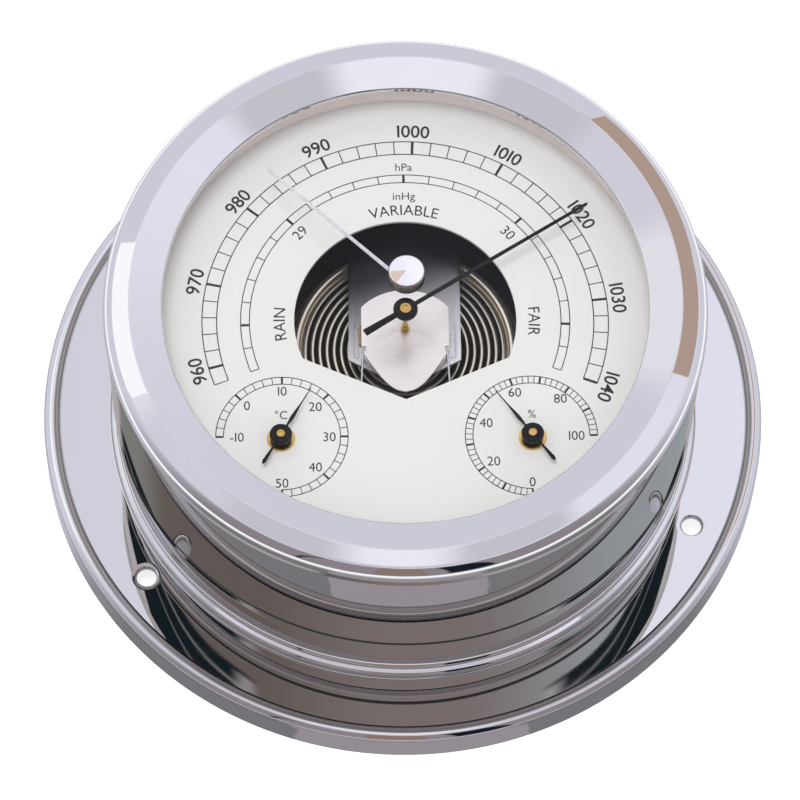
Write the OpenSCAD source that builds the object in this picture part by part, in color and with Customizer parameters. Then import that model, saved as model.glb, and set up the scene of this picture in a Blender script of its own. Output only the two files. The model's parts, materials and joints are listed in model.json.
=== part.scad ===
// Ship's weather station: aneroid barometer with a set hand, thermometer and hygrometer
// in one chromed bulkhead case. It lies on its back: +Z points out of the dial,
// +Y to 12 o'clock, and the origin is the centre of the flange's back edge.

/* [Flange] */
// Width of the mounting flange outside the collar
flange_w = 17.5; // [16:0.1:24]
// Height of the flat face above the back edge
flange_h = 7.3; // [6:0.1:9]
// Rise of the rolled rim above the flat face
rim_rise = 1.4; // [0.8:0.1:2]
// Width of the rolled rim
rim_w = 3.5; // [3:0.1:4.5]
// Thickness of the spun sheet
sheet_t = 1.4; // [1:0.1:1.6]
// Number of mounting holes
hole_count = 3; // [3:1:6]
// Distance of a mounting hole's centre from the flange's edge
hole_inset = 10.75; // [9.5:0.05:11.5]
// Diameter of a mounting hole
hole_d = 4.6; // [4:0.1:5.5]
// Depth of the dimple round a mounting hole
dimple_depth = 0.5; // [0.3:0.1:0.8]
// Clockwise turn of the first hole from 12 o'clock
hole_turn = -5.5; // [-20:0.1:20]

/* [Drum] */
// Outer diameter of the drum's tube
tube_d = 126.8; // [110:0.1:145]
// Wall of the drum's tube
tube_t = 1.5; // [1:0.1:2]
// Thickness of the collar round the foot of the tube
collar_t = 1.6; // [1.4:0.1:1.8]
// Height of the collar's top edge
collar_top = 19.3; // [16:0.1:22]
// Radius of the large bead at the foot of the collar
foot_bead_r = 1.3; // [1:0.1:1.5]
// Radius of the small bead above it
small_bead_r = 0.7; // [0.5:0.1:0.9]

/* [Rear cover] */
// Depth of the cover's face inside the flange edge
cover_recess = 2.2; // [1.8:0.1:3]
// Thickness of the rear cover
cover_t = 1.4; // [1:0.1:2]
// Number of vent holes
vent_count = 8; // [4:1:12]
// Diameter of a vent hole
vent_d = 4; // [3:0.5:5]
// Diameter of the circle through the vent holes
vent_pcd = 64; // [58:1:70]
// Diameter of the hole for the calibrating screw
access_d = 9; // [7:0.5:12]

/* [Bezel and glass] */
// Overhang of the bezel's edge beyond the tube
bezel_over = 3.2; // [2.8:0.1:4]
// Overhang of the bezel's foot beyond the tube
foot_over = 2.1; // [1.9:0.1:2.4]
// Height of the bezel's crest above the glass at the lip
bezel_crown = 3; // [2.6:0.1:3.6]
// Radius of the bezel's rounded edge
bezel_round = 3; // [2.6:0.1:3.4]
// Distance of the bezel's crest from its edge
crest_in = 5.8; // [5.2:0.1:6.6]
// Thickness of the bezel's sheet
bezel_t = 1.2; // [0.9:0.1:1.3]
// Width of the bezel, from its lip to its edge
lip_w = 13.1; // [12:0.1:14]
// Gap between the bezel's foot and the collar
bezel_gap = 0.7; // [0.4:0.1:1.2]
// Distance of the glass's edge from the tube's outside
glass_inset = 5.9; // [5.6:0.1:6.1]
// Thickness of the glass
glass_t = 1.6; // [1.3:0.1:1.8]
// Outer radius of the domed glass
glass_r = 131; // [115:0.5:150]
// Thickness of the gasket under the glass
gasket_t = 0.4; // [0.3:0.1:0.6]
// Height of the spacer between dial and gasket
spacer_h = 4.5; // [4.3:0.1:4.7]
// Width of the spacer, from the tube's outside to its bore
spacer_w = 7.9; // [7.6:0.1:9]

/* [Dial] */
// Height of the dial's face above the back edge
dial_z = 52.7; // [51:0.1:54]
// Thickness of the dial
dial_t = 0.8; // [0.5:0.1:1]
// Diameter of the window in the dial
window_d = 49.2; // [47:0.1:51]
// Distance of the window's side corners below the axis
window_corner = 9.5; // [8:0.1:12]
// Distance of the window's lowest corner below the axis
window_tip = 19.6; // [18:0.1:21]

/* [Barometer hand] */
// Reading of the hand in hectopascals
pressure = 1020.2; // [975:0.1:1030]
// Gap between the hand's tip and the spacer
hand_gap = 6.7; // [4:0.1:9]
// Length of the hand's tail
hand_tail = 10.7; // [9:0.1:12]
// Width of the hand at its hub
hand_w = 0.95; // [0.7:0.05:1.2]
// Width of the hand's tail at its end
tail_w = 1.6; // [1.2:0.1:2]
// Diameter of the hand's hub
hub_d = 5.4; // [4.5:0.1:6]
// Height of the hand above the dial
hand_rise = 4.5; // [4:0.1:5]
// Diameter of the arbor
arbor_d = 1; // [0.8:0.05:1.1]

/* [Set hand] */
// Distance of the set hand's tip from the spacer
set_inset = 9.9; // [8:0.1:14]
// Clockwise angle of the set hand
set_angle = -42.5; // [-120:0.5:120]
// Gap between the set hand's tip and the glass
set_gap = 0.55; // [0.4:0.05:0.9]
// Diameter of the knob
knob_d = 8; // [7:0.1:10]
// Height of the knob's knurled rim
knob_rim = 3; // [2.4:0.1:4]
// Height of the knob's cone
knob_cone = 1; // [0.6:0.1:1.5]
// Number of ridges round the knob
knurl_count = 44; // [30:1:60]

/* [Thermometer and hygrometer] */
// Angle of the small hands' pivots from 6 o'clock
pivot_angle = 43.3; // [42:0.1:46]
// Gap between a small hand's tip and the spacer
pivot_gap = 2.2; // [1.5:0.1:3]
// Temperature shown in degrees Celsius
temperature = 16.7; // [-5:0.1:45]
// Relative humidity shown in per cent
humidity = 53; // [5:0.5:95]
// Length of a small hand to its tip
small_tip = 13.2; // [11:0.1:13.5]
// Length of a small hand's tail
small_tail = 8; // [6:0.1:9]
// Diameter of a small hand's hub
small_hub_d = 4.9; // [4:0.1:5.5]
// Diameter of the brass bush on the dial
bush_d = 6.1; // [5.5:0.1:7]

/* [Capsule] */
// Outer diameter of the aneroid capsule
capsule_d = 53; // [52:0.2:54]
// Height of the capsule's rim above the base plate
capsule_lift = 8.5; // [8.2:0.1:9.5]
// Height of the capsule's upper face above its rim
capsule_rise = 4.3; // [4:0.1:4.6]
// Number of corrugations in a capsule shell
wave_count = 9; // [6:1:10]
// Height of a corrugation
wave_h = 0.9; // [0.5:0.1:1]
// Thickness of the capsule's metal
capsule_t = 0.35; // [0.3:0.05:0.45]
// Diameter of the boss in the middle of the capsule
boss_d = 12; // [10:0.5:14]

/* [Movement] */
// Diameter of the movement's base plate
base_d = 96; // [94:1:104]
// Thickness of the base plate
base_t = 1.5; // [1:0.1:2]
// Height of the base plate's underside
base_z = 24; // [23:0.1:25]
// Width of the brushed bridge plate
bridge_w = 25; // [24.4:0.1:26]
// Thickness of the bridge plate
bridge_t = 0.8; // [0.6:0.05:0.9]
// Height of the bridge plate's face above the rocking shaft
bridge_lift = 3.1; // [2.9:0.1:3.5]
// Thickness of the polished shield
shield_t = 0.5; // [0.4:0.05:0.7]
// Height of the shield's face above the bridge plate
shield_lift = 4.8; // [4.6:0.1:5.2]
// Width of the shield at its widest
shield_w = 19.6; // [19:0.1:20]
// Distance of the pillars and posts from the base plate's edge
post_inset = 6; // [4:0.5:8]
// Diameter of a pillar
pillar_d = 5; // [4:0.1:6]

/* [Gearing] */
// Gear module of the sector and its pinion
gear_module = 0.25; // [0.24:0.005:0.26]
// Teeth of the pinion on the hand's arbor
pinion_teeth = 8; // [8:1:9]
// Teeth of the whole circle that the sector is cut from
sector_teeth = 52; // [50:1:54]
// Distance from the sector's pivot to its drive pin
drive_pin_r = 1.9; // [1.8:0.05:2]
// Diameter of the rocking shaft
rocker_d = 1.2; // [1:0.05:1.3]
// Height of the rocking shaft above the capsule
rocker_lift = 1.9; // [1.8:0.1:2.2]

/* [Hidden] */
$fn = 96;
run_gap = 0.04;
// Dial scale, clockwise from 12 o'clock
scale_rate = 2.7;
scale_centre = 999;
hand_angle = (pressure - scale_centre) * scale_rate;
temp_angle = -90 + (temperature + 10) * 4.5;
humid_angle = -180 + humidity * 2.7;
// Case
tube_r = tube_d / 2;
collar_r = tube_r + collar_t;
flange_r = collar_r + flange_w;
hole_ring = flange_r - hole_inset;
seat_z = dial_z - dial_t;
cover_z = cover_recess + cover_t;
rim_round = rim_w - 1.6;
rim_z = flange_h + rim_rise - rim_round;
bead_x = collar_r + foot_bead_r - 0.4;
bead_z = flange_h + foot_bead_r * 0.77;
small_x = collar_r + 0.2;
small_z = bead_z + foot_bead_r + small_bead_r - 0.1;
bezel_r = tube_r + bezel_over;
bezel_foot_r = tube_r + foot_over;
bezel_foot_z = collar_top + bezel_gap;
lip_r = bezel_r - lip_w;
// Glass: the sphere's centre follows from the seat at the glass's edge
glass_edge = tube_r - glass_inset;
glass_seat = dial_z + spacer_h + gasket_t;
glass_in_r = glass_r - glass_t;
glass_rim_in = glass_edge - 1;
glass_cz = glass_seat - sqrt(glass_in_r * glass_in_r - glass_rim_in * glass_rim_in);
glass_top = glass_cz + glass_r;
glass_under = glass_cz + glass_in_r;
bezel_top = glass_z(lip_r) + bezel_crown;
chamfer = 15;
crest_r = bezel_r - crest_in;
spacer_r = tube_r - spacer_w;
bush_r = 1.75;
bush_gap = 0.03;
bush_flange = 0.3;
bush_foot_r = bush_r + 0.9;
bush_seat_z = glass_cz + sqrt(glass_in_r * glass_in_r - bush_foot_r * bush_foot_r);
// Barometer hand and its arbor
hand_z = dial_z + hand_rise;
hand_tip = spacer_r - hand_gap;
hand_point_w = hand_w * 0.65;
tail_root_w = tail_w * 0.78;
hand_t = 0.4;
hub_t = 1;
arbor_r = arbor_d / 2;
pivot_r = arbor_r - 0.1;
// Set hand
spindle_r = 1;
set_t = 0.3;
set_tip = spacer_r - set_inset;
set_root_z = glass_under - bush_flange - 0.3 - set_t;
set_tip_z = glass_cz + sqrt(glass_in_r * glass_in_r - set_tip * set_tip) - set_gap - set_t;
knob_z = glass_top + 0.12;
knob_r = knob_d / 2;
knurl_depth = 0.18;
knob_lip_h = 0.45;
// Small instruments
small_arbor_r = 0.5;
pivot_ring = spacer_r - pivot_gap - small_tip;
pivot_x = pivot_ring * sin(pivot_angle);
pivot_y = pivot_ring * cos(pivot_angle);
barrel_r = 2.1;
small_bush_t = 0.5;
small_hand_z = dial_z + 1.8;
nut_h = 1.5;
bracket_t = 0.5;
coil_r = 8.8;
coil_h = 4;
coil_t = 0.35;
coil_turns = 5;
coil_start = 1.4;
coil_top = seat_z - nut_h - bracket_t - 0.9;
// Movement
base_top = base_z + base_t;
post_ring = base_d / 2 - post_inset;
capsule_r = capsule_d / 2;
capsule_rim_z = base_top + capsule_lift;
capsule_top = capsule_rim_z + capsule_rise;
rocker_z = capsule_top + rocker_lift;
bridge_z = rocker_z + bridge_lift;
shield_z = bridge_z + shield_lift;
bridge_under = bridge_z - bridge_t;
shield_under = shield_z - shield_t;
pinion_r = gear_module * pinion_teeth / 2;
sector_r = gear_module * sector_teeth / 2;
sector_y = -(pinion_r + sector_r);
bridge_front_y = 1.5 - sector_y;
bridge_side_y = bridge_front_y - 3.7;
bridge_corner = 7;
slot_w = 1.1;
slot_l = 7.7;
slot_x = bridge_w / 2 - 1.85;
slot_y = -0.95;
lug_y = 5.1;
bridge_pillar_x = bridge_w / 2 - 4;
bridge_pillar_r = 2;
bridge_screw_r = 0.8;
pillar_gap = 2.2;
bridge_pillar_y = sqrt(pow(capsule_r + pillar_gap + bridge_pillar_r, 2) - pow(bridge_pillar_x, 2));
bridge_end_y = bridge_pillar_y + 4.5;
clip_post_r = 1.8;
clip_y = capsule_r + 1.7 + clip_post_r;
shield_head_y = 9.7;
shield_side_y = 5.5;
shield_point = 10;
clip_r = 0.25;
clip_z = shield_z - 2.1;
boss_r = boss_d / 2;
wave_in = boss_r + run_gap;
wave_out = capsule_r - 3.3;
screw_r = 1.9;
screw_top_z = capsule_rim_z - capsule_rise - 1.2;
cover_screw_r = 1.25;
cover_head_r = 2.6;
cover_head_h = 1.4;
// Gearing: the sector turns with the hand at this ratio
sector_ratio = pinion_teeth / sector_teeth;
sector_angle = hand_angle * sector_ratio;
sector_t = 0.6;
sector_z = shield_under - 0.8 - sector_t;
drive_pin_d = 0.5;
rocker_r = rocker_d / 2;
rocker_reach = sector_z - 0.3 - rocker_z;
rocker_ratio = drive_pin_r * sector_ratio / (rocker_reach - 0.2);
rocker_angle = hand_angle * rocker_ratio;
arm_t = 0.5;
drive_gap = 0.13;
rocker_y = sector_y + drive_pin_d / 2 + drive_gap + arm_t / 2;
boss_drop = -rocker_y * sin(rocker_angle);
boss_top = capsule_top - 0.1 - boss_drop;
stud_top = rocker_z - boss_drop - arm_t / 2 / cos(rocker_angle) - 0.15;
spring_r = 4.2;
spring_t = 0.12;
stud_r = 0.6;
spring_z = bridge_z + 0.6;

// Points along an arc round centre c
function arc(c, r, a0, a1, n) = [
    for (i = [0 : n])
        let (a = a0 + (a1 - a0) * i / n)
        [c[0] + r * cos(a), c[1] + r * sin(a)]
];

// Height of the glass's outer face at a radius
function glass_z(r) = glass_cz + sqrt(glass_r * glass_r - r * r);

// Outline of a strip wound from one radius to another
function strip(r0, r1, turns, t, n) = concat(
    [for (i = [0 : n])
        let (a = 360 * turns * i / n, r = r0 + (r1 - r0) * i / n)
        [(r + t) * sin(a), (r + t) * cos(a)]],
    [for (i = [n : -1 : 0])
        let (a = 360 * turns * i / n, r = r0 + (r1 - r0) * i / n)
        [r * sin(a), r * cos(a)]]
);

// Places children at a radius and a clockwise angle from 12 o'clock
module clockwise(r, a) {
    translate([r * sin(a), r * cos(a), 0]) children();
}

module ring(r_in, r_out, z0, z1) {
    translate([0, 0, z0]) difference() {
        cylinder(r = r_out, h = z1 - z0);
        translate([0, 0, -1]) cylinder(r = r_in, h = z1 - z0 + 2);
    }
}

module disc(r, z0, z1) {
    translate([0, 0, z0]) cylinder(r = r, h = z1 - z0);
}

module rod(a, b, r) {
    d = b - a;
    translate(a)
        rotate([0, acos(d[2] / norm(d)), atan2(d[1], d[0])])
            cylinder(r = r, h = norm(d));
}

// Case

// Flange with its rolled rim, the beads and the collar, spun in one piece
module flange_case() {
    profile = concat(
        [[tube_r, flange_h - sheet_t], [flange_r - rim_w + 0.3, flange_h - sheet_t]],
        arc([flange_r - rim_round, rim_z], rim_round - sheet_t, 90, 0, 4),
        [[flange_r - sheet_t, 0], [flange_r, 0]],
        arc([flange_r - rim_round, rim_z], rim_round, 0, 132, 12),
        [[flange_r - rim_w, flange_h]],
        arc([bead_x, bead_z], foot_bead_r, -50, 60, 8),
        arc([small_x, small_z], small_bead_r, -45, 80, 6),
        [[collar_r, small_z + small_bead_r + 0.1]],
        arc([collar_r - 0.6, collar_top - 0.6], 0.6, 0, 90, 4),
        [[tube_r, collar_top]]
    );
    color("silver") difference() {
        rotate_extrude($fn = 180) polygon(profile);
        for (i = [0 : hole_count - 1])
            clockwise(hole_ring, hole_turn + i * 360 / hole_count) {
                disc(hole_d / 2, 0, flange_h + 1);
                translate([0, 0, flange_h - dimple_depth])
                    cylinder(r1 = hole_d / 2, r2 = hole_d / 2 + 2 * dimple_depth, h = 2 * dimple_depth);
            }
    }
}

// Tube that the flange is soldered to; the dial rests on its top edge
module drum_tube() {
    color("silver") ring(tube_r - tube_t, tube_r, cover_z, seat_z);
}

module rear_cover() {
    color("dimgray") difference() {
        disc(tube_r - 0.3, cover_recess, cover_z);
        disc(access_d / 2, 0, cover_z + 1);
        for (i = [0 : vent_count - 1])
            clockwise(vent_pcd / 2, (i + 0.5) * 360 / vent_count)
                disc(vent_d / 2, 0, cover_z + 1);
        for (i = [0 : 2])
            clockwise(post_ring, 60 + 120 * i) disc(cover_screw_r + 0.25, 0, cover_z + 1);
    }
}

module rear_cover_screws() {
    color("gainsboro")
        for (i = [0 : 2])
            clockwise(post_ring, 60 + 120 * i) difference() {
                union() {
                    disc(cover_head_r, cover_recess - cover_head_h, cover_recess);
                    disc(cover_screw_r, cover_recess, cover_z + 6);
                }
                translate([-cover_head_r - 1, -0.35, cover_recess - cover_head_h - 1])
                    cube([2 * cover_head_r + 2, 0.7, 1 + cover_head_h / 2]);
            }
}

module cover_pillars() {
    color("goldenrod")
        for (i = [0 : 2])
            clockwise(post_ring, 60 + 120 * i) difference() {
                disc(pillar_d / 2, cover_z, base_z);
                disc(cover_screw_r, cover_z - 1, cover_z + 8);
            }
}

// Movement

module base_plate() {
    color("darkslategray") difference() {
        disc(base_d / 2, base_z, base_top);
        disc(screw_r + run_gap, base_z - 1, base_top + 1);
    }
}

module adjusting_screw() {
    head_z = base_z - 3.6;
    color("goldenrod") difference() {
        union() {
            disc(3.4, head_z, head_z + 1.6);
            disc(screw_r, head_z + 1.6, screw_top_z);
            disc(3, screw_top_z - 0.8, screw_top_z);
        }
        translate([-4, -0.45, head_z - 0.5]) cube([8, 0.9, 1.4]);
    }
}

// Height of the capsule's waves above the rim plane
function wave(r) =
    capsule_rise - 1 - wave_h / 2
    + wave_h / 2 * cos(360 * wave_count * (wave_out - r) / (wave_out - wave_in));

function shell_line(n) = concat(
    [[capsule_r, 0], [capsule_r - 0.9, 0]],
    arc([capsule_r - 2.2, capsule_rise - 1.1], 1.1, 0, 180, 8),
    [for (i = [0 : n])
        let (r = wave_out + (wave_in - wave_out) * i / n)
        [r, wave(r)]]
);

module capsule_shell(n) {
    top = shell_line(n);
    low = [for (p = top) [p[0], p[1] - capsule_t]];
    rotate_extrude($fn = 120)
        polygon(concat(
            [for (p = top) [p[0], p[1] + capsule_t]],
            [for (i = [len(top) - 1 : -1 : 0]) [top[i][0], top[i][1]]]
        ));
}

module capsule_upper_shell() {
    color("khaki") translate([0, 0, capsule_rim_z]) capsule_shell(wave_count * 6);
}

module capsule_lower_shell() {
    color("khaki") translate([0, 0, capsule_rim_z]) {
        mirror([0, 0, 1]) capsule_shell(wave_count * 6);
        disc(wave_in + 0.5, screw_top_z - capsule_rim_z, -capsule_rise + 1.6);
    }
}

module capsule_boss() {
    color("goldenrod") {
        disc(boss_r, boss_top - 2, boss_top);
        disc(1.2, boss_top, stud_top);
    }
}

module bridge_pillars() {
    color("silver")
        for (x = [-1, 1])
            translate([x * bridge_pillar_x, bridge_pillar_y, 0]) difference() {
                disc(bridge_pillar_r, base_top, bridge_under);
                disc(bridge_screw_r, bridge_under - 5, bridge_under + 1);
            }
}

module bridge_screws() {
    color("gainsboro")
        for (x = [-1, 1])
            translate([x * bridge_pillar_x, bridge_pillar_y, 0]) difference() {
                union() {
                    disc(bridge_pillar_r - 0.3, bridge_z, bridge_z + 1);
                    disc(bridge_screw_r, bridge_under - 4, bridge_z);
                }
                translate([-2, -0.25, bridge_z + 0.5]) cube([4, 0.5, 1]);
            }
}

module bridge_plate() {
    half = bridge_w / 2;
    color("darkgray") difference() {
        translate([0, 0, bridge_under]) linear_extrude(bridge_t) difference() {
            polygon([
                [-half, bridge_end_y], [half, bridge_end_y], [half, -bridge_side_y],
                [half - bridge_corner, -bridge_front_y], [-half + bridge_corner, -bridge_front_y],
                [-half, -bridge_side_y]
            ]);
            for (x = [-1, 1])
                translate([x * slot_x, slot_y]) square([slot_w, slot_l], center = true);
            translate([0.95, rocker_y - 1.1]) square([1.9, 2.3]);
        }
        for (x = [-1, 1])
            translate([x * bridge_pillar_x, bridge_pillar_y, 0])
                disc(bridge_screw_r + 0.1, bridge_under - 1, bridge_z + 1);
        disc(1.6, bridge_under - 1, bridge_z + 1);
        translate([0, sector_y, 0]) disc(0.3 + run_gap, bridge_under - 1, bridge_z + 1);
    }
}

module bridge_pin() {
    pin_r = 0.3;
    pin_x = slot_x - slot_w / 2 - pin_r / 2;
    color("gold") rod([-pin_x, -1.9, bridge_z + pin_r], [-pin_x, 3.2, bridge_z + pin_r], pin_r);
}

module rocker_bearings() {
    lug_low = rocker_z - rocker_r - 0.7;
    color("silver")
        for (x = [-1, 1]) difference() {
            translate([x * 5.5 - 0.5, rocker_y - 1.4, lug_low])
                cube([1, 2.8, bridge_under - lug_low]);
            translate([x * 5.5 - 1, rocker_y, rocker_z])
                rotate([0, 90, 0]) cylinder(r = rocker_r + run_gap, h = 2);
        }
}

module rocker_shaft() {
    color("silver")
        translate([0, rocker_y, rocker_z]) rotate([-rocker_angle, 0, 0]) {
            translate([-6.4, 0, 0]) rotate([0, 90, 0]) cylinder(r = rocker_r, h = 12.8);
            translate([-0.6, 0, -arm_t / 2]) cube([1.2, -rocker_y + 0.6, arm_t]);
            translate([drive_pin_r - 0.5, -arm_t / 2, 0]) cube([1, arm_t, rocker_reach]);
        }
}

// One tooth of a gear: root, flanks and tip at a radius, as angles from its middle
function tooth(r, mid, root, tip) = [
    [(r - 1.15 * gear_module) * sin(mid - root), (r - 1.15 * gear_module) * cos(mid - root)],
    [r * sin(mid - (root + tip) / 2), r * cos(mid - (root + tip) / 2)],
    [(r + 0.8 * gear_module) * sin(mid - tip), (r + 0.8 * gear_module) * cos(mid - tip)],
    [(r + 0.8 * gear_module) * sin(mid + tip), (r + 0.8 * gear_module) * cos(mid + tip)],
    [r * sin(mid + (root + tip) / 2), r * cos(mid + (root + tip) / 2)],
    [(r - 1.15 * gear_module) * sin(mid + root), (r - 1.15 * gear_module) * cos(mid + root)]
];

module sector_gear() {
    pitch = 360 / sector_teeth;
    color("gold") translate([0, sector_y, 0]) {
        difference() {
            translate([0, 0, sector_z]) rotate(sector_angle) linear_extrude(sector_t) union() {
                polygon(concat(
                    [[-1.2, 0]],
                    [for (i = [-4.5 : 1 : 4.5])
                        each tooth(sector_r, i * pitch, pitch * 0.3, pitch * 0.09)],
                    [[1.2, 0]]
                ));
                circle(r = 1.6);
                translate([0, -0.8]) square([drive_pin_r, 1.6]);
                translate([drive_pin_r, 0]) circle(r = 0.8);
            }
            disc(0.5, sector_z - 1, sector_z + 2);
        }
        rotate(sector_angle) translate([drive_pin_r, 0, 0])
            disc(drive_pin_d / 2, sector_z - 1.4, sector_z);
    }
}

module sector_arbor() {
    color("silver") translate([0, sector_y, 0]) {
        disc(0.5, bridge_z + 0.2, shield_under - 0.2);
        disc(0.3, bridge_under + 0.1, shield_z - 0.1);
    }
}

module pointer_arbor() {
    pitch = 360 / pinion_teeth;
    color("gold") {
        disc(pivot_r, bridge_under + 0.1, bridge_z + 0.15);
        disc(arbor_r, bridge_z + 0.15, hand_z);
        disc(0.85, hand_z - 2.6, hand_z - 0.01);
        translate([0, 0, sector_z - 0.3]) rotate(-hand_angle) linear_extrude(sector_t + 0.6)
            polygon([for (i = [0 : pinion_teeth - 1])
                each tooth(pinion_r, 180 + i * pitch, pitch * 0.27, pitch * 0.09)]);
        disc(1.1, spring_z - 0.1, spring_z + 0.9);
        disc(0.7, hand_z - 0.01, hand_z + hub_t + 0.2);
        disc(1.25, hand_z + hub_t, hand_z + hub_t + 0.25);
    }
}

module arbor_lower_bush() {
    color("goldenrod") ring(pivot_r + run_gap, 1.6, bridge_under - 0.3, bridge_z + 0.05);
}

module arbor_upper_bush() {
    color("goldenrod") {
        ring(arbor_r + run_gap, 0.95, shield_under, shield_z + 1.5);
        ring(arbor_r + run_gap, 1.3, shield_z, shield_z + 0.4);
    }
}

module hairspring() {
    color("steelblue")
        translate([0, 0, spring_z]) rotate(90)
            linear_extrude(0.6) polygon(strip(1.3, spring_r, 5, spring_t, 120));
}

module hairspring_stud() {
    color("goldenrod") translate([-spring_r - spring_t - stud_r + 0.04, 0, 0])
        disc(stud_r, bridge_z, spring_z + 0.7);
}

// Outline of the shield: an arched head, straight sides and a rounded point
module shield_outline() {
    half = shield_w / 2;
    head_r = 13.3;
    head_y = shield_head_y - head_r;
    open = acos((half - 0.64) / head_r);
    side = [for (i = [0 : 14])
        let (t = i / 14)
        [half * sqrt(1 - pow(t, 0.8)), -shield_side_y - shield_point * t]];
    polygon(concat(
        arc([0, head_y], head_r, open, 180 - open, 12),
        [for (i = [0 : 14]) [-side[i][0], side[i][1]]],
        [for (i = [13 : -1 : 0]) side[i]]
    ));
}

module shield_plate() {
    color("mistyrose") difference() {
        translate([0, 0, shield_under]) linear_extrude(shield_t) difference() {
            shield_outline();
            for (x = [-1, 1])
                translate([x * (shield_w / 2 - 0.3), -lug_y]) square([1.4, 1.6], center = true);
        }
        disc(0.95, shield_under - 1, shield_z + 1);
        translate([0, sector_y, 0]) disc(0.3 + run_gap, shield_under - 1, shield_z + 1);
    }
}

module shield_legs() {
    color("lightgray")
        for (x = [-1, 1])
            translate([x * (shield_w / 2 - 1.4) - 0.3, -3, bridge_z])
                cube([0.6, 6, shield_under - bridge_z]);
}

module shield_clip() {
    top_z = shield_z + 0.1;
    bar_z = clip_z + clip_r;
    foot_x = 10.8;
    color("silver") {
        for (x = [-1, 1]) {
            hook = [x * (shield_w / 2 - 0.4), -lug_y, bridge_z];
            bend = [hook[0], hook[1], top_z];
            foot = [x * foot_x, -clip_y, bar_z];
            rod(hook, bend, clip_r);
            translate(bend) sphere(r = clip_r + 0.04, $fn = 24);
            rod(bend, foot, clip_r);
            translate(foot) sphere(r = clip_r + 0.04, $fn = 24);
        }
        rod([-foot_x, -clip_y, bar_z], [foot_x, -clip_y, bar_z], clip_r);
    }
}

module clip_post() {
    color("goldenrod") translate([0, -clip_y, 0]) disc(clip_post_r, base_top, clip_z);
}

module dial_posts() {
    color("goldenrod")
        for (i = [0 : 2])
            clockwise(post_ring, 120 * i) disc(pillar_d / 2, base_top, seat_z);
}

// Dial

module dial_plate() {
    wide = window_d / 2 + 1;
    slope = (window_tip - window_corner) / sqrt(pow(window_d / 2, 2) - pow(window_corner, 2));
    color("whitesmoke") difference() {
        disc(tube_r - 0.2, seat_z, dial_z);
        translate([0, 0, seat_z - 1]) linear_extrude(dial_t + 2) intersection() {
            circle(d = window_d);
            polygon([
                [0, -window_tip], [wide, -window_tip + slope * wide],
                [wide, wide], [-wide, wide], [-wide, -window_tip + slope * wide]
            ]);
        }
        for (x = [-1, 1])
            translate([x * pivot_x, -pivot_y, 0]) disc(barrel_r, seat_z - 1, dial_z + 1);
    }
}

module barometer_pointer() {
    color("black") rotate(-hand_angle) difference() {
        union() {
            disc(hub_d / 2, hand_z, hand_z + hub_t);
            translate([0, 0, hand_z + 0.3]) linear_extrude(hand_t) polygon([
                [-hand_w / 2, 0], [-hand_point_w / 2, hand_tip - 0.6], [0, hand_tip],
                [hand_point_w / 2, hand_tip - 0.6], [hand_w / 2, 0], [tail_root_w / 2, -hub_d / 2],
                [tail_w / 2, -hand_tail], [-tail_w / 2, -hand_tail], [-tail_root_w / 2, -hub_d / 2]
            ]);
        }
        disc(0.7, hand_z - 1, hand_z + hub_t + 1);
    }
}

// Thermometer and hygrometer, alike but for their side and reading

module small_place(side) {
    translate([side * pivot_x, -pivot_y, 0]) children();
}

module small_bush(side) {
    color("goldenrod") small_place(side) {
        ring(small_arbor_r + run_gap, bush_d / 2, dial_z, dial_z + small_bush_t);
        ring(small_arbor_r + run_gap, barrel_r, coil_top + 0.2, dial_z);
    }
}

module small_nut(side) {
    color("goldenrod") small_place(side) difference() {
        translate([0, 0, seat_z - nut_h]) cylinder(r = 3.8, h = nut_h, $fn = 6);
        disc(barrel_r, seat_z - nut_h - 1, seat_z + 1);
    }
}

module small_bracket(side) {
    top = seat_z - nut_h;
    color("silver") small_place(side) difference() {
        union() {
            disc(3.6, top - bracket_t, top);
            translate([-2, 0, top - bracket_t]) cube([4, coil_r + 1, bracket_t]);
            translate([-2, coil_r + 0.35, coil_top - coil_h]) cube([4, 0.65, top - coil_top + coil_h]);
        }
        disc(barrel_r, top - bracket_t - 1, top + 1);
    }
}

module small_coil(side, tone) {
    color(tone) small_place(side)
        translate([0, 0, coil_top - coil_h]) linear_extrude(coil_h)
            polygon(strip(coil_start, coil_r, coil_turns, coil_t, 120));
}

module small_arbor(side) {
    color("gold") small_place(side) {
        disc(small_arbor_r, coil_top - coil_h - 0.5, small_hand_z + 1.1);
        disc(1.15, coil_top - coil_h, coil_top);
        disc(0.9, small_hand_z + 1, small_hand_z + 1.3);
    }
}

module small_pointer(side, angle) {
    color("black") small_place(side) rotate(-angle) difference() {
        union() {
            disc(small_hub_d / 2, small_hand_z, small_hand_z + 1);
            translate([0, 0, small_hand_z + 0.2]) linear_extrude(0.3) polygon([
                [-0.2, 0], [-0.22, 2.5], [-0.42, 4.7], [-0.36, 6], [-0.14, 8.6], [-0.08, small_tip],
                [0.08, small_tip], [0.14, 8.6], [0.36, 6], [0.42, 4.7], [0.22, 2.5], [0.2, 0],
                [0.2, -2.5], [0.45, -small_tail + 0.7], [0.1, -small_tail],
                [-0.1, -small_tail], [-0.45, -small_tail + 0.7], [-0.2, -2.5]
            ]);
        }
        disc(small_arbor_r, small_hand_z - 1, small_hand_z + 2);
    }
}

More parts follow.
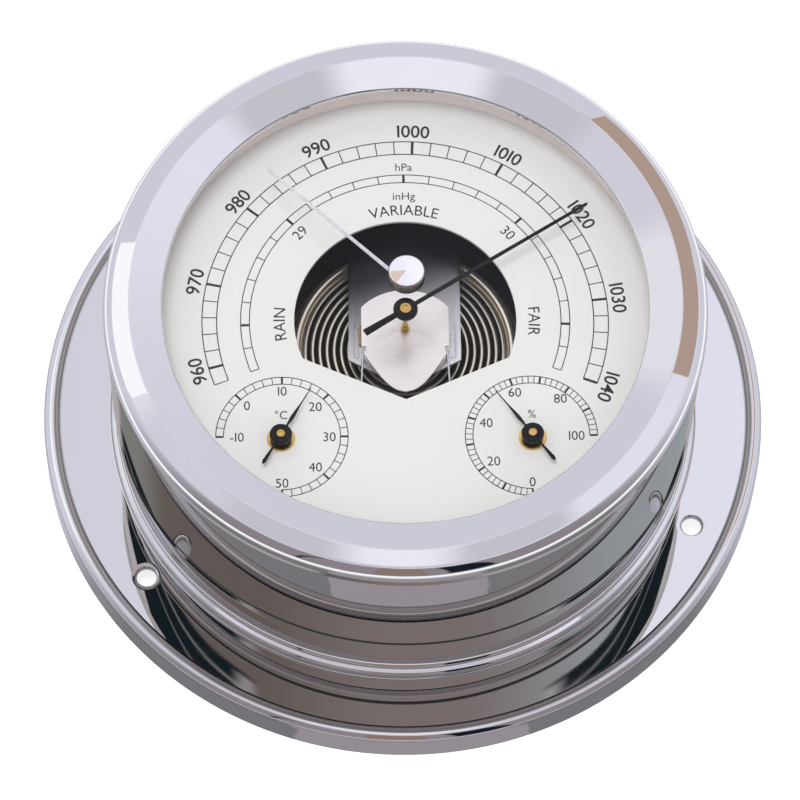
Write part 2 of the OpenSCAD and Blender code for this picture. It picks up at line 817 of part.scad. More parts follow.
module thermometer_bush() { small_bush(-1); }
module thermometer_nut() { small_nut(-1); }
module thermometer_bracket() { small_bracket(-1); }
module thermometer_coil() { small_coil(-1, "peru"); }
module thermometer_arbor() { small_arbor(-1); }
module thermometer_pointer() { small_pointer(-1, temp_angle); }
module hygrometer_bush() { small_bush(1); }
module hygrometer_nut() { small_nut(1); }
module hygrometer_bracket() { small_bracket(1); }
module hygrometer_coil() { small_coil(1, "tan"); }
module hygrometer_arbor() { small_arbor(1); }
module hygrometer_pointer() { small_pointer(1, humid_angle); }

// Glass and bezel

module spacer_ring() {
    top = dial_z + spacer_h;
    color("rosybrown") rotate_extrude($fn = 180) polygon([
        [spacer_r, dial_z], [tube_r - 0.2, dial_z], [tube_r - 0.2, dial_z + 1.5],
        [glass_edge + 1.2, dial_z + 1.5], [glass_edge + 1.2, top + 1.4],
        [glass_edge + 0.15, top + 1.4], [glass_edge + 0.15, top], [spacer_r, top]
    ]);
}

module glass_gasket() {
    color("dimgray") ring(spacer_r + 0.2, glass_edge, dial_z + spacer_h, glass_seat);
}

module glass_dome() {
    color("lightblue", 0.3) difference() {
        rotate_extrude($fn = 180) intersection() {
            translate([0, glass_cz]) difference() {
                circle(r = glass_r, $fn = 720);
                circle(r = glass_in_r, $fn = 720);
            }
            translate([0, glass_seat]) square([glass_edge, glass_r]);
        }
        disc(bush_r + bush_gap, glass_under - 2, glass_top + 2);
    }
}

module bezel_ring() {
    lip_z = glass_z(lip_r);
    round_x = bezel_r - bezel_round;
    round_z = bezel_top - (round_x - crest_r) * tan(chamfer) - bezel_round / cos(chamfer);
    foot_round = 1.5;
    outer = concat(
        [[lip_r, lip_z], [lip_r, lip_z + 0.5], [lip_r + 0.25, lip_z + 0.85], [lip_r + 0.7, lip_z + 1]],
        [[crest_r - 0.4, bezel_top - 0.05], [crest_r, bezel_top], [crest_r + 0.35, bezel_top - 0.06]],
        arc([round_x, round_z], bezel_round, 90 - chamfer, 0, 12),
        [[bezel_r - 0.35, round_z - 0.9]],
        arc([bezel_foot_r - foot_round, bezel_foot_z + foot_round], foot_round, 0, -90, 6)
    );
    inner = concat(
        [[tube_r + 0.05, bezel_foot_z], [tube_r + 0.05, bezel_foot_z + bezel_t]],
        [[bezel_foot_r - foot_round, bezel_foot_z + bezel_t], [bezel_foot_r - bezel_t, bezel_foot_z + 1.8]],
        [[bezel_r - 0.35 - bezel_t, round_z - 0.9]],
        arc([round_x, round_z], bezel_round - bezel_t, 0, 90 - chamfer, 8),
        [[crest_r, bezel_top - bezel_t / cos(chamfer)]]
    );
    color("silver") rotate_extrude($fn = 180) polygon(concat(outer, inner));
}

// Set hand

module spindle_bush() {
    color("silver") {
        ring(spindle_r + run_gap, bush_r, glass_under - bush_flange, glass_top + 0.1);
        ring(spindle_r + run_gap, bush_foot_r, glass_under - bush_flange, bush_seat_z);
    }
}

module friction_washer() {
    color("goldenrod")
        ring(spindle_r + run_gap, 1.6, glass_under - bush_flange - 0.25, glass_under - bush_flange);
}

module set_spindle() {
    color("silver") {
        disc(spindle_r, set_root_z - 0.5, knob_z + knob_lip_h + 1.5);
        disc(1.5, set_root_z - 0.5, set_root_z - 0.2);
    }
}

module set_hand() {
    slope = atan2(set_root_z - set_tip_z, set_tip);
    color("whitesmoke") difference() {
        union() {
            disc(1.5, set_root_z - 0.2, set_root_z + set_t);
            rotate(-set_angle) translate([0, 0, set_root_z]) rotate([-slope, 0, 0])
                linear_extrude(set_t) union() {
                    polygon([
                        [-0.45, 0], [-0.25, set_tip / cos(slope) - 0.25],
                        [0.25, set_tip / cos(slope) - 0.25], [0.45, 0]
                    ]);
                    translate([0, set_tip / cos(slope) - 0.25]) circle(r = 0.25, $fn = 24);
                }
        }
        disc(spindle_r, set_root_z - 1, set_root_z + 2);
    }
}

module set_knob() {
    rim_z0 = knob_z + knob_lip_h;
    rim_z1 = knob_z + knob_rim;
    color("gainsboro") difference() {
        union() {
            disc(knob_r - 0.35, knob_z, rim_z0);
            translate([0, 0, rim_z0]) linear_extrude(rim_z1 - rim_z0 - 0.25)
                polygon([for (i = [0 : 2 * knurl_count - 1])
                    let (a = 180 * i / knurl_count, r = knob_r - (i % 2) * knurl_depth)
                    [r * cos(a), r * sin(a)]]);
            translate([0, 0, rim_z1 - 0.25])
                cylinder(r1 = knob_r - knurl_depth - 0.08, r2 = knob_r - 0.5, h = 0.25);
            translate([0, 0, rim_z1]) cylinder(r1 = knob_r - 0.5, r2 = 0.15, h = knob_cone);
        }
        disc(spindle_r, knob_z - 1, knob_z + knob_lip_h + 1.5);
    }
}

flange_case();
drum_tube();
rear_cover();
rear_cover_screws();
cover_pillars();
base_plate();
adjusting_screw();
capsule_lower_shell();
capsule_upper_shell();
capsule_boss();
bridge_pillars();
bridge_screws();
bridge_plate();
bridge_pin();
rocker_bearings();
rocker_shaft();
sector_gear();
sector_arbor();
pointer_arbor();
arbor_lower_bush();
arbor_upper_bush();
hairspring();
hairspring_stud();
shield_plate();
shield_legs();
shield_clip();
clip_post();
dial_posts();
dial_plate();
barometer_pointer();
thermometer_bush();
thermometer_nut();
thermometer_bracket();
thermometer_coil();
thermometer_arbor();
thermometer_pointer();
hygrometer_bush();
hygrometer_nut();
hygrometer_bracket();
hygrometer_coil();
hygrometer_arbor();
hygrometer_pointer();
spacer_ring();
glass_gasket();
glass_dome();
bezel_ring();
spindle_bush();
friction_washer();
set_spindle();
set_hand();
set_knob();
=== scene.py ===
"""Ship's weather station: smooth pieces, scales, finishes and a studio for the packed model."""

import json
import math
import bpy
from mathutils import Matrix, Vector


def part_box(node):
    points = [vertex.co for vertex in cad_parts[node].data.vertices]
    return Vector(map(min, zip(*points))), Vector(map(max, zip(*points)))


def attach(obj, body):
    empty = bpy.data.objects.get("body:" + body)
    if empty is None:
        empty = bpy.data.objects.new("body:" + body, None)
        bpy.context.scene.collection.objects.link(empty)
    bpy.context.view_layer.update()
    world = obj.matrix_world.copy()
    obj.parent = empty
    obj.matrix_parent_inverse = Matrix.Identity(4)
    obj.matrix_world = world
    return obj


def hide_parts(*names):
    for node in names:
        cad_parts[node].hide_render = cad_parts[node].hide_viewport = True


bl_info = {
    "name": "Ship's weather station",
    "version": (1, 0, 0),
    "blender": (4, 5, 0),
    "location": "3D View > Sidebar > Weather station",
    "description": "Dresses the packed weather station in smooth pieces and finishes",
    "category": "Object",
}

import bmesh
import bpy
from bpy.props import FloatProperty, FloatVectorProperty, IntProperty, PointerProperty
from mathutils import Matrix, Vector

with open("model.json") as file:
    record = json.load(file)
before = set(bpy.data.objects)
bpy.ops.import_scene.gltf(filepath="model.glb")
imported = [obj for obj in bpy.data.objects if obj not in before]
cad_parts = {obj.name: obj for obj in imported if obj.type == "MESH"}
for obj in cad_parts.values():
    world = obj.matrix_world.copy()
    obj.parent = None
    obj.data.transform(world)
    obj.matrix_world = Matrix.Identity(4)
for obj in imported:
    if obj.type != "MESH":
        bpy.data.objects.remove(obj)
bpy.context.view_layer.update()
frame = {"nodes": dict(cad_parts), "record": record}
MM = 0.001
ROUND = 256  # steps of a full turn
DEGREES = 57.2958  # degrees in a radian
CAP_HEIGHT = 0.729  # height of a capital letter in the built-in font at size 1
CREST_R = 22.25  # radius in mm of the capsule's outermost small crest
CREST_GAP = 1.62  # distance in mm between the capsule's crests
GLASS_BORE = 1.78  # radius in mm of the hole for the set hand's bush


def low(node):
    """Lowest corner of a CAD node in millimetres."""
    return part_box(node)[0] / MM


def high(node):
    """Highest corner of a CAD node in millimetres."""
    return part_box(node)[1] / MM


# Places taken from the frame, in millimetres
FLANGE_R = high("flange_case").x
COLLAR_TOP = high("flange_case").z
TUBE_R = high("drum_tube").x
BEZEL_R = high("bezel_ring").x
BEZEL_TOP = high("bezel_ring").z
BEZEL_FOOT = low("bezel_ring").z
DIAL_R = high("dial_plate").x
DIAL_Z = high("dial_plate").z
DIAL_UNDER = low("dial_plate").z
SPACER_TOP = high("spacer_ring").z
GLASS_EDGE = high("glass_dome").x
GLASS_SEAT = low("glass_dome").z
HAND_Z = low("barometer_pointer").z
HUB_TOP = high("barometer_pointer").z
PIVOT = (high("hygrometer_bush") + low("hygrometer_bush")) / 2
SMALL_HAND_Z = low("hygrometer_pointer").z
BRIDGE_Z = high("bridge_plate").z
BRIDGE_UNDER = low("bridge_plate").z
SHIELD_Z = high("shield_plate").z
SHIELD_UNDER = low("shield_plate").z
KNOB_R = high("set_knob").x
KNOB_Z = low("set_knob").z
KNOB_TOP = high("set_knob").z
BOLTS = next(m for m in frame["record"]["mounts"] if m["kind"] == "bolt_pattern")["dims"]


class CaseSizes(bpy.types.PropertyGroup):
    """Flange, bezel and glass."""

    flat_height: FloatProperty(
        name="Flange height", description="Height of the flange's flat face",
        default=7.3 * MM, unit="LENGTH")
    sheet: FloatProperty(
        name="Sheet", description="Thickness of the flange's sheet",
        default=1.4 * MM, unit="LENGTH")
    rim_width: FloatProperty(
        name="Rim width", description="Width of the rolled rim", default=3.5 * MM, unit="LENGTH")
    rim_rise: FloatProperty(
        name="Rim rise", description="Rise of the rim above the flat face",
        default=1.4 * MM, unit="LENGTH")
    hole_turn: FloatProperty(
        name="Hole turn", description="Clockwise turn of the first screw hole from 12 o'clock",
        default=math.radians(-5.5), subtype="ANGLE")
    lip_width: FloatProperty(
        name="Bezel width", description="Width of the bezel from its lip to its edge",
        default=13.1 * MM, unit="LENGTH")
    crest_inset: FloatProperty(
        name="Crest inset", description="Distance of the bezel's crest from its edge",
        default=5.8 * MM, unit="LENGTH")
    glass_radius: FloatProperty(
        name="Glass radius", description="Radius of the domed glass",
        default=131 * MM, unit="LENGTH")
    glass_thickness: FloatProperty(
        name="Glass thickness", description="Thickness of the glass",
        default=1.6 * MM, unit="LENGTH")


class DialSizes(bpy.types.PropertyGroup):
    """Window and printed scales."""

    window: FloatProperty(
        name="Window", description="Radius of the window in the dial",
        default=24.6 * MM, unit="LENGTH")
    window_corner: FloatProperty(
        name="Window corners", description="Distance of the side corners below the middle",
        default=9.5 * MM, unit="LENGTH")
    window_tip: FloatProperty(
        name="Window tip", description="Distance of the lowest corner below the middle",
        default=19.6 * MM, unit="LENGTH")
    pressure_ring: FloatProperty(
        name="Pressure ring", description="Outer radius of the hectopascal scale",
        default=45.0 * MM, unit="LENGTH")
    inch_ring: FloatProperty(
        name="Inch ring", description="Outer radius of the inch scale",
        default=36.45 * MM, unit="LENGTH")
    small_ring: FloatProperty(
        name="Small rings", description="Outer radius of the two small scales",
        default=14.48 * MM, unit="LENGTH")
    numeral: FloatProperty(
        name="Numerals", description="Height of the pressure numerals",
        default=3.2 * MM, unit="LENGTH")
    small_numeral: FloatProperty(
        name="Small numerals", description="Height of the small dials' numerals",
        default=2.3 * MM, unit="LENGTH")


class HandReadings(bpy.types.PropertyGroup):
    """Readings at rest; the packed model's hands stand at the defaults."""

    pressure: FloatProperty(
        name="Pressure", description="Reading in hectopascals at rest", default=1020.2)
    temperature: FloatProperty(
        name="Temperature", description="Reading in degrees Celsius at rest", default=16.7)
    humidity: FloatProperty(
        name="Humidity", description="Reading in per cent at rest", default=53.0)
    set_angle: FloatProperty(
        name="Set hand", description="Clockwise angle of the set hand",
        default=math.radians(-42.5), subtype="ANGLE")
    knurls: IntProperty(
        name="Knurls", description="Ridges round the set knob", default=44, min=20, max=80)


class FinishColours(bpy.types.PropertyGroup):
    """Colours of the finishes."""

    chrome: FloatVectorProperty(
        name="Chrome", description="Polished plating", default=(0.72, 0.72, 0.725),
        subtype="COLOR")
    enamel: FloatVectorProperty(
        name="Dial", description="Satin white of the dial", default=(0.85, 0.84, 0.825),
        subtype="COLOR")
    ink: FloatVectorProperty(
        name="Ink", description="Print on the dial", default=(0.012, 0.012, 0.013),
        subtype="COLOR")
    gold: FloatVectorProperty(
        name="Brass", description="Turned and lacquered brass", default=(0.83, 0.55, 0.17),
        subtype="COLOR")
    capsule: FloatVectorProperty(
        name="Capsule", description="Corrugated metal of the capsule", default=(0.95, 0.86, 0.70),
        subtype="COLOR")
    shield: FloatVectorProperty(
        name="Shield", description="Polished shield over the movement", default=(0.98, 0.92, 0.89),
        subtype="COLOR")


class StudioSettings(bpy.types.PropertyGroup):
    """Camera and light."""

    camera_place: FloatVectorProperty(
        name="Camera", description="Place of the camera", default=(-0.01653, -0.4786, 0.99281),
        subtype="TRANSLATION", unit="LENGTH")
    camera_target: FloatVectorProperty(
        name="Target", description="Point in the middle of the picture",
        default=(-0.00091, -0.00547, 0.0233), subtype="TRANSLATION", unit="LENGTH")
    camera_roll: FloatProperty(
        name="Roll", description="Turn of the camera round its view", default=math.radians(1.40),
        subtype="ANGLE")
    lens: FloatProperty(
        name="Lens", description="Focal length on a 36 mm sensor", default=214.4, unit="CAMERA")
    key_power: FloatProperty(
        name="Key lamp", description="Power of the large lamp overhead", default=5.7, unit="POWER")
    fill: FloatProperty(
        name="Fill", description="Light from all round", default=0.6)


def sizes():
    return bpy.context.scene.station_case


def dial():
    return bpy.context.scene.station_dial


def readings():
    return bpy.context.scene.station_readings


def colours():
    return bpy.context.scene.station_colours


def turned(radius, angle, z=0.0):
    """Point in mm at a radius and an angle in degrees, clockwise from 12 o'clock."""
    a = math.radians(angle)
    return Vector((radius * math.sin(a), radius * math.cos(a), z))


def pressure_angle(hectopascals):
    """Clockwise angle of a reading on the barometer's scale."""
    return (hectopascals - 999) * 2.7


def inch_angle(inches):
    """Clockwise angle of a reading on the inch scale."""
    return (inches - 29.5) * 92


def celsius_angle(degrees):
    """Clockwise angle of a reading on the thermometer's scale."""
    return (degrees + 10) * 4.5 - 90


def humidity_angle(percent):
    """Clockwise angle of a reading on the hygrometer's scale."""
    return percent * 2.7 - 180


# Outlines


def arc(centre, radius, start, end, steps):
    """Points of an arc, angles in degrees, anticlockwise from the first axis."""
    return [
        (centre[0] + radius * math.cos(math.radians(start + (end - start) * i / steps)),
         centre[1] + radius * math.sin(math.radians(start + (end - start) * i / steps)))
        for i in range(steps + 1)
    ]


def rounded(corners, closed=True, turn=7.0):
    """Outline through corners (a, b) or (a, b, rounding), each rounding an arc of short steps."""
    line = []
    count = len(corners)
    for i, corner in enumerate(corners):
        at = Vector(corner[:2])
        rounding = corner[2] if len(corner) > 2 else 0.0
        if not rounding or (not closed and i in (0, count - 1)):
            line.append(tuple(at))
            continue
        back = (Vector(corners[i - 1][:2]) - at).normalized()
        on = (Vector(corners[(i + 1) % count][:2]) - at).normalized()
        bend = math.pi - back.angle(on)
        reach = rounding * math.tan(bend / 2)
        centre = at + (back + on).normalized() * (rounding / math.cos(bend / 2))
        first = at + back * reach - centre
        side = 1 if back.cross(on) < 0 else -1
        steps = max(2, math.ceil(math.degrees(bend) / turn))
        for k in range(steps + 1):
            a = side * bend * k / steps
            line.append((centre.x + first.x * math.cos(a) - first.y * math.sin(a),
                         centre.y + first.x * math.sin(a) + first.y * math.cos(a)))
    return line


def propped(line, closed=True, reach=0.12, least=0.8):
    """Adds a point near each end of the long straight runs, which keeps their shading flat."""
    out = []
    for i, point in enumerate(line):
        out.append(point)
        if not closed and i == len(line) - 1:
            break
        a = Vector(point)
        b = Vector(line[(i + 1) % len(line)])
        length = (b - a).length
        if length > least:
            out.append(tuple(a.lerp(b, reach / length)))
            out.append(tuple(a.lerp(b, 1 - reach / length)))
    return out


# Meshes


def chain(bm, line, closed, plane="xz"):
    """Adds a line of edges in mm, in the XZ plane for spinning or in the XY plane for plates."""
    if plane == "xz":
        points = [Vector((a, 0, b)) for a, b in line]
    else:
        points = [Vector((a, b, 0)) for a, b in line]
    verts = [bm.verts.new(p * MM) for p in points]
    ends = verts[1:] + verts[:1] if closed else verts[1:]
    edges = [bm.edges.new(pair) for pair in zip(verts, ends)]
    return verts, edges


def spin(bm, line, closed=True, steps=ROUND, centre=(0, 0)):
    """Spins a profile (radius, height) in mm a full turn about an upright axis."""
    earlier = set(bm.verts)
    verts, edges = chain(bm, line, closed)
    bmesh.ops.spin(bm, geom=verts + edges, cent=(0, 0, 0), axis=(0, 0, 1), angle=math.tau,
                   steps=steps, use_merge=True, use_normal_flip=False, use_duplicate=False)
    made = [v for v in bm.verts if v not in earlier]
    bmesh.ops.translate(bm, verts=made, vec=(centre[0] * MM, centre[1] * MM, 0))
    return bm


def closed_up(bm):
    """Merges doubled points, closes the poles and turns the faces outwards."""
    bmesh.ops.remove_doubles(bm, verts=bm.verts, dist=1e-7)
    bmesh.ops.dissolve_degenerate(bm, edges=bm.edges, dist=1e-8)
    bmesh.ops.recalc_face_normals(bm, faces=bm.faces)
    return bm


def spun(line, steps=ROUND, centre=(0, 0)):
    return closed_up(spin(bmesh.new(), line, True, steps, centre))


def lathed(line, steps=ROUND, centre=(0, 0)):
    """Spins an open profile that starts and ends on the axis."""
    return closed_up(spin(bmesh.new(), line, False, steps, centre))


def plate(outlines, bottom, top, edge=0.0, segments=2):
    """A flat plate in mm: the first outline is its rim and the others are its holes."""
    bm = bmesh.new()
    edges = []
    for line in outlines:
        edges += chain(bm, line, True, "xy")[1]
    bmesh.ops.translate(bm, verts=bm.verts, vec=(0, 0, bottom * MM))
    bmesh.ops.triangle_fill(bm, edges=edges, use_beauty=True, use_dissolve=False, normal=(0, 0, 1))
    made = bmesh.ops.extrude_face_region(bm, geom=bm.faces[:])
    up = [g for g in made["geom"] if isinstance(g, bmesh.types.BMVert)]
    bmesh.ops.translate(bm, verts=up, vec=(0, 0, (top - bottom) * MM))
    closed_up(bm)
    if edge:
        rim = [e for e in bm.edges if len(e.link_faces) == 2 and e.calc_face_angle() > 1.2
               and abs(e.verts[0].co.z - e.verts[1].co.z) < 1e-9]
        bmesh.ops.bevel(bm, geom=rim, offset=edge * MM, offset_type="OFFSET", segments=segments,
                        profile=0.5, material=-1, affect="EDGES", clamp_overlap=True)
    return bm


def joined(*parts):
    """One bmesh from several."""
    whole = bmesh.new()
    for part in parts:
        mesh = bpy.data.meshes.new("part")
        part.to_mesh(mesh)
        part.free()
        whole.from_mesh(mesh)
        bpy.data.meshes.remove(mesh)
    return whole


def rotated(bm, angle, about=(0, 0, 0)):
    """Turns a bmesh clockwise by an angle in degrees about an upright axis in mm."""
    at = Vector(about) * MM
    turn = Matrix.Rotation(-math.radians(angle), 4, "Z")
    matrix = Matrix.Translation(at) @ turn @ Matrix.Translation(-at)
    bmesh.ops.transform(bm, matrix=matrix, verts=bm.verts)
    return bm


def shifted(bm, x=0.0, y=0.0, z=0.0):
    bmesh.ops.translate(bm, verts=bm.verts, vec=(x * MM, y * MM, z * MM))
    return bm


def wire(points, radius, steps=20):
    """A round wire through points in mm, with round ends and bends."""
    parts = []
    for a, b in zip(points, points[1:]):
        a, b = Vector(a), Vector(b)
        rod = bmesh.new()
        bmesh.ops.create_cone(rod, cap_ends=True, segments=steps, radius1=radius * MM,
                              radius2=radius * MM, depth=(b - a).length * MM)
        turn = Vector((0, 0, 1)).rotation_difference(b - a).to_matrix().to_4x4()
        matrix = Matrix.Translation((a + b) / 2 * MM) @ turn
        bmesh.ops.transform(rod, matrix=matrix, verts=rod.verts)
        parts.append(rod)
    for point in points:
        ball = bmesh.new()
        bmesh.ops.create_uvsphere(ball, u_segments=steps, v_segments=12, radius=radius * MM,
                                  matrix=Matrix.Translation(Vector(point) * MM))
        parts.append(ball)
    return joined(*parts)


def piece(name, bm, coat, stands_for=(), body="case", sharp=30):
    """Makes a piece with a finish; it rides on a body and may stand for CAD nodes."""
    mesh = bpy.data.meshes.new(name)
    bm.to_mesh(mesh)
    bm.free()
    mesh.materials.append(finish(coat))
    mesh.shade_smooth()
    mesh.set_sharp_from_angle(angle=math.radians(sharp))
    obj = bpy.data.objects.new(name, mesh)
    bpy.context.scene.collection.objects.link(obj)
    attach(obj, body)
    if stands_for:
        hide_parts(*stands_for)
    return obj


# Shader maths and finishes


class Amount:
    """A number that varies over a surface; sums on it add Math nodes."""

    def __init__(self, nodes, socket):
        self.nodes = nodes
        self.socket = socket

    def math(self, operation, *values):
        inputs = dict(enumerate(values))
        return self.nodes.node("ShaderNodeMath", {"operation": operation}, inputs)

    def __add__(self, other):
        return self.math("ADD", self, other)

    def __radd__(self, other):
        return self.math("ADD", other, self)

    def __sub__(self, other):
        return self.math("SUBTRACT", self, other)

    def __rsub__(self, other):
        return self.math("SUBTRACT", other, self)

    def __mul__(self, other):
        return self.math("MULTIPLY", self, other)

    def __rmul__(self, other):
        return self.math("MULTIPLY", other, self)

    def __truediv__(self, other):
        return self.math("DIVIDE", self, other)

    def __pow__(self, other):
        return self.math("POWER", self, other)

    def __gt__(self, other):
        return self.math("GREATER_THAN", self, other)

    def size(self):
        return self.math("ABSOLUTE", self)

    def wave(self):
        return self.math("SINE", self)

    def most(self, other):
        return self.math("MAXIMUM", self, other)

    def step(self, start, end):
        """Rises smoothly from 0 at start to 1 at end."""
        return self.nodes.node(
            "ShaderNodeMapRange", {"interpolation_type": "SMOOTHSTEP"},
            {"Value": self, "From Min": start, "From Max": end, "To Min": 0.0, "To Max": 1.0})

    def within(self, start, end, soft):
        """1 between start and end, with soft edges."""
        return self.step(start - soft, start + soft) * (1 - self.step(end - soft, end + soft))


class Nodes:
    """Nodes of one material or world."""

    def __init__(self, tree):
        self.tree = tree

    def feed(self, socket, value):
        if isinstance(value, Amount):
            self.tree.links.new(value.socket, socket)
        elif socket.type == "RGBA" and len(value) == 3:
            socket.default_value = (*value, 1.0)
        else:
            socket.default_value = value

    def node(self, kind, settings=None, inputs=None, output=0):
        made = self.tree.nodes.new(kind)
        for name, value in (settings or {}).items():
            setattr(made, name, value)
        for name, value in (inputs or {}).items():
            self.feed(made.inputs[name], value)
        return Amount(self, made.outputs[output])

    def mixed(self, first, second, factor, blend="MIX"):
        """Mixes two colours."""
        return self.node(
            "ShaderNodeMix", {"data_type": "RGBA", "blend_type": blend},
            {0: factor, 6: first, 7: second}, 2)

    def ray(self, output):
        """What the light path says of the ray that is being followed."""
        return self.node("ShaderNodeLightPath", None, None, output)

    def either(self, factor, first, second):
        """Mixes two shaders."""
        return self.node("ShaderNodeMixShader", None, {0: factor, 1: first, 2: second})

    def surface(self, shader):
        out = self.tree.nodes.new("ShaderNodeOutputMaterial")
        self.feed(out.inputs["Surface"], shader)

    def parts(self, vector):
        """The three numbers of a vector."""
        split = self.node("ShaderNodeSeparateXYZ", None, {0: vector})
        outputs = split.socket.node.outputs
        return [Amount(self, outputs[i]) for i in range(3)]

    def heading(self, x, y):
        """Degrees to the right of the front, seen from the axis."""
        return self.node("ShaderNodeMath", {"operation": "ARCTAN2"}, {0: x, 1: 0 - y}) * DEGREES

    def scaled(self, vector, factors):
        settings = {"operation": "MULTIPLY"}
        return self.node("ShaderNodeVectorMath", settings, {0: vector, 1: factors})

    def noise(self, vector, scale, detail=3.0, roughness=0.55):
        return self.node("ShaderNodeTexNoise", None, {
            "Vector": vector, "Scale": scale, "Detail": detail, "Roughness": roughness})

    def flecks(self, vector, scale):
        """Distance to the nearest of many scattered points."""
        return self.node("ShaderNodeTexVoronoi", None, {"Vector": vector, "Scale": scale})


class Finish(Nodes):
    """A procedural material with one surface shader."""

    def __init__(self, name, colour, roughness, metallic=0.0, **constants):
        self.material = bpy.data.materials.new(name)
        self.material.use_nodes = True
        super().__init__(self.material.node_tree)
        self.shader = self.tree.nodes["Principled BSDF"]
        self.set("Base Color", colour)
        self.set("Roughness", roughness)
        self.set("Metallic", metallic)
        for socket, value in constants.items():
            self.set(socket.replace("_", " "), value)
        self.place = self.node("ShaderNodeTexCoord", None, None, "Object")

    def set(self, socket, value):
        self.feed(self.shader.inputs[socket], value)

    def radius(self):
        """Distance from the instrument's axis in mm."""
        x, y, _ = self.parts(self.place)
        return (x * x + y * y) ** 0.5 * 1000

    def bump(self, height, strength, distance):
        """Bumps the surface by a height from 0 to 1, times a distance in mm."""
        self.set("Normal", self.node("ShaderNodeBump", None, {
            "Strength": strength, "Distance": distance * MM, "Height": height}))

    def tint(self, colour, other, factor):
        self.set("Base Color", self.mixed(colour, other, factor))


FINISHES = {}


def finish(name):
    """The material of that name, made when it is first asked for."""
    if name not in FINISHES:
        FINISHES[name] = FINISH_MAKERS[name]().material
    return FINISHES[name]


def chrome():
    """Polished plating with faint haze, wiping marks, fine scratches and a painted shade line in the
    crease before the rim, darkest at the front.
    """
    base = Vector(colours().chrome)
    made = Finish("chrome", base, 0.03, 1.0)
    haze = made.noise(made.place, 55, 4)
    wipe = made.noise(made.scaled(made.place, (1, 1, 6)), 260, 2)
    _, y, _ = made.parts(made.place)
    edge = FLANGE_R - sizes().rim_width / MM
    # painted shade: a dark line in the crease where the flange's flat face meets its rim, darkest at the
    # front
    painted_crease_shade = made.radius().within(edge - 0.45, edge, 0.1) * ((0 - y).step(0.0, 0.06) * 0.7 + 0.3)
    plated = made.mixed(base * 0.985, base * 1.015, haze)
    made.tint(plated, (0.02, 0.02, 0.022), painted_crease_shade)
    made.set("Roughness", haze.step(0.35, 0.8) * 0.012 + wipe.step(0.5, 0.85) * 0.008 + 0.005)
    made.bump(made.noise(made.place, 40, 1), 0.03, 0.02)
    return made


def knob_chrome():
    """Plated knob: a turned face with one sector painted as a brownish reflection, and a darker knurled
    rim with painted light and shade on its ridges.
    """
    made = Finish("knob_chrome", (0.95, 0.94, 0.95), 0.14, 1.0)
    x, y, _ = made.parts(made.place)
    rings = (made.radius() * 42).wave()
    turn = made.heading(x, y)
    # painted reflection: a brownish wedge on the turned face, fixed at one angle round the knob
    painted_reflection_sector = turn.within(-88, -38, 3) * (1 - made.radius().step(3.5, 3.65))
    face = made.mixed((1.0, 0.99, 0.99), (0.80, 0.62, 0.48), painted_reflection_sector * 0.9)
    rim = made.radius().step(3.72, 3.8)
    # painted light and shade: each knurl is lit on one flank and dark on the other
    shade = (turn * 0.768).wave().step(-0.6, 0.6)
    ridges = made.mixed((0.12, 0.10, 0.095), (0.46, 0.41, 0.385), shade)
    made.tint(face, ridges, rim)
    made.set("Roughness", rings * 0.04 + 0.26)
    made.bump(rings * 0.5 + made.noise(made.place, 900), 0.05, 0.02)
    return made


def enamel():
    """Satin white dial with a very fine grain."""
    base = Vector(colours().enamel)
    made = Finish("dial_enamel", base, 0.42, 0.0, Specular_IOR_Level=0.35)
    grain = made.noise(made.place, 1500, 2)
    cloud = made.noise(made.place, 30, 2)
    made.tint(base * 0.985, base * 1.01, cloud)
    made.set("Roughness", grain * 0.08 + 0.4)
    made.bump(grain, 0.04, 0.01)
    return made


def grained(name, grain_size, tones, span, rough, bump, detail=3.0, **constants):
    """Paint, plastic or rubber: a fine grain sets its tone, roughness and bump.

    span is the part of the grain over which the tone changes, rough the roughness and its
    variation, and bump the strength and the height in mm.
    """
    made = Finish(name, tones[0], rough[0], 0.0, **constants)
    grain = made.noise(made.place, grain_size, detail)
    made.tint(*tones, grain.step(*span) if span else grain)
    made.set("Roughness", grain * rough[1] + rough[0])
    made.bump(grain, *bump)
    return made


def ink():
    base = Vector(colours().ink)
    return grained("scale_ink", 2200, (base, base * 2.2), (0.45, 0.8), (0.4, 0.2), (0.1, 0.004), 2)


def pointer_black():
    return grained("pointer_black", 1800, ((0.004, 0.004, 0.005), (0.012, 0.011, 0.012)),
                   (0.4, 0.8), (0.28, 0.2), (0.08, 0.01), Specular_IOR_Level=0.2)


def brass_like(name, base, rings_per_mm=5.0, rough=0.24):
    """Turned metal: fine rings about the instrument's axis and a little tarnish."""
    made = Finish(name, base, rough, 1.0)
    base = Vector(base)
    tarnish = made.noise(made.place, 160, 4)
    rings = (made.radius() * rings_per_mm * math.tau).wave()
    made.tint(base * 0.8, base * 1.05, tarnish.step(0.3, 0.7))
    made.set("Roughness", tarnish * 0.12 + rings * 0.02 + (rough - 0.05))
    made.bump(rings * 0.5 + 0.5, 0.06, 0.01)
    return made


def brass():
    return brass_like("brass", colours().gold)


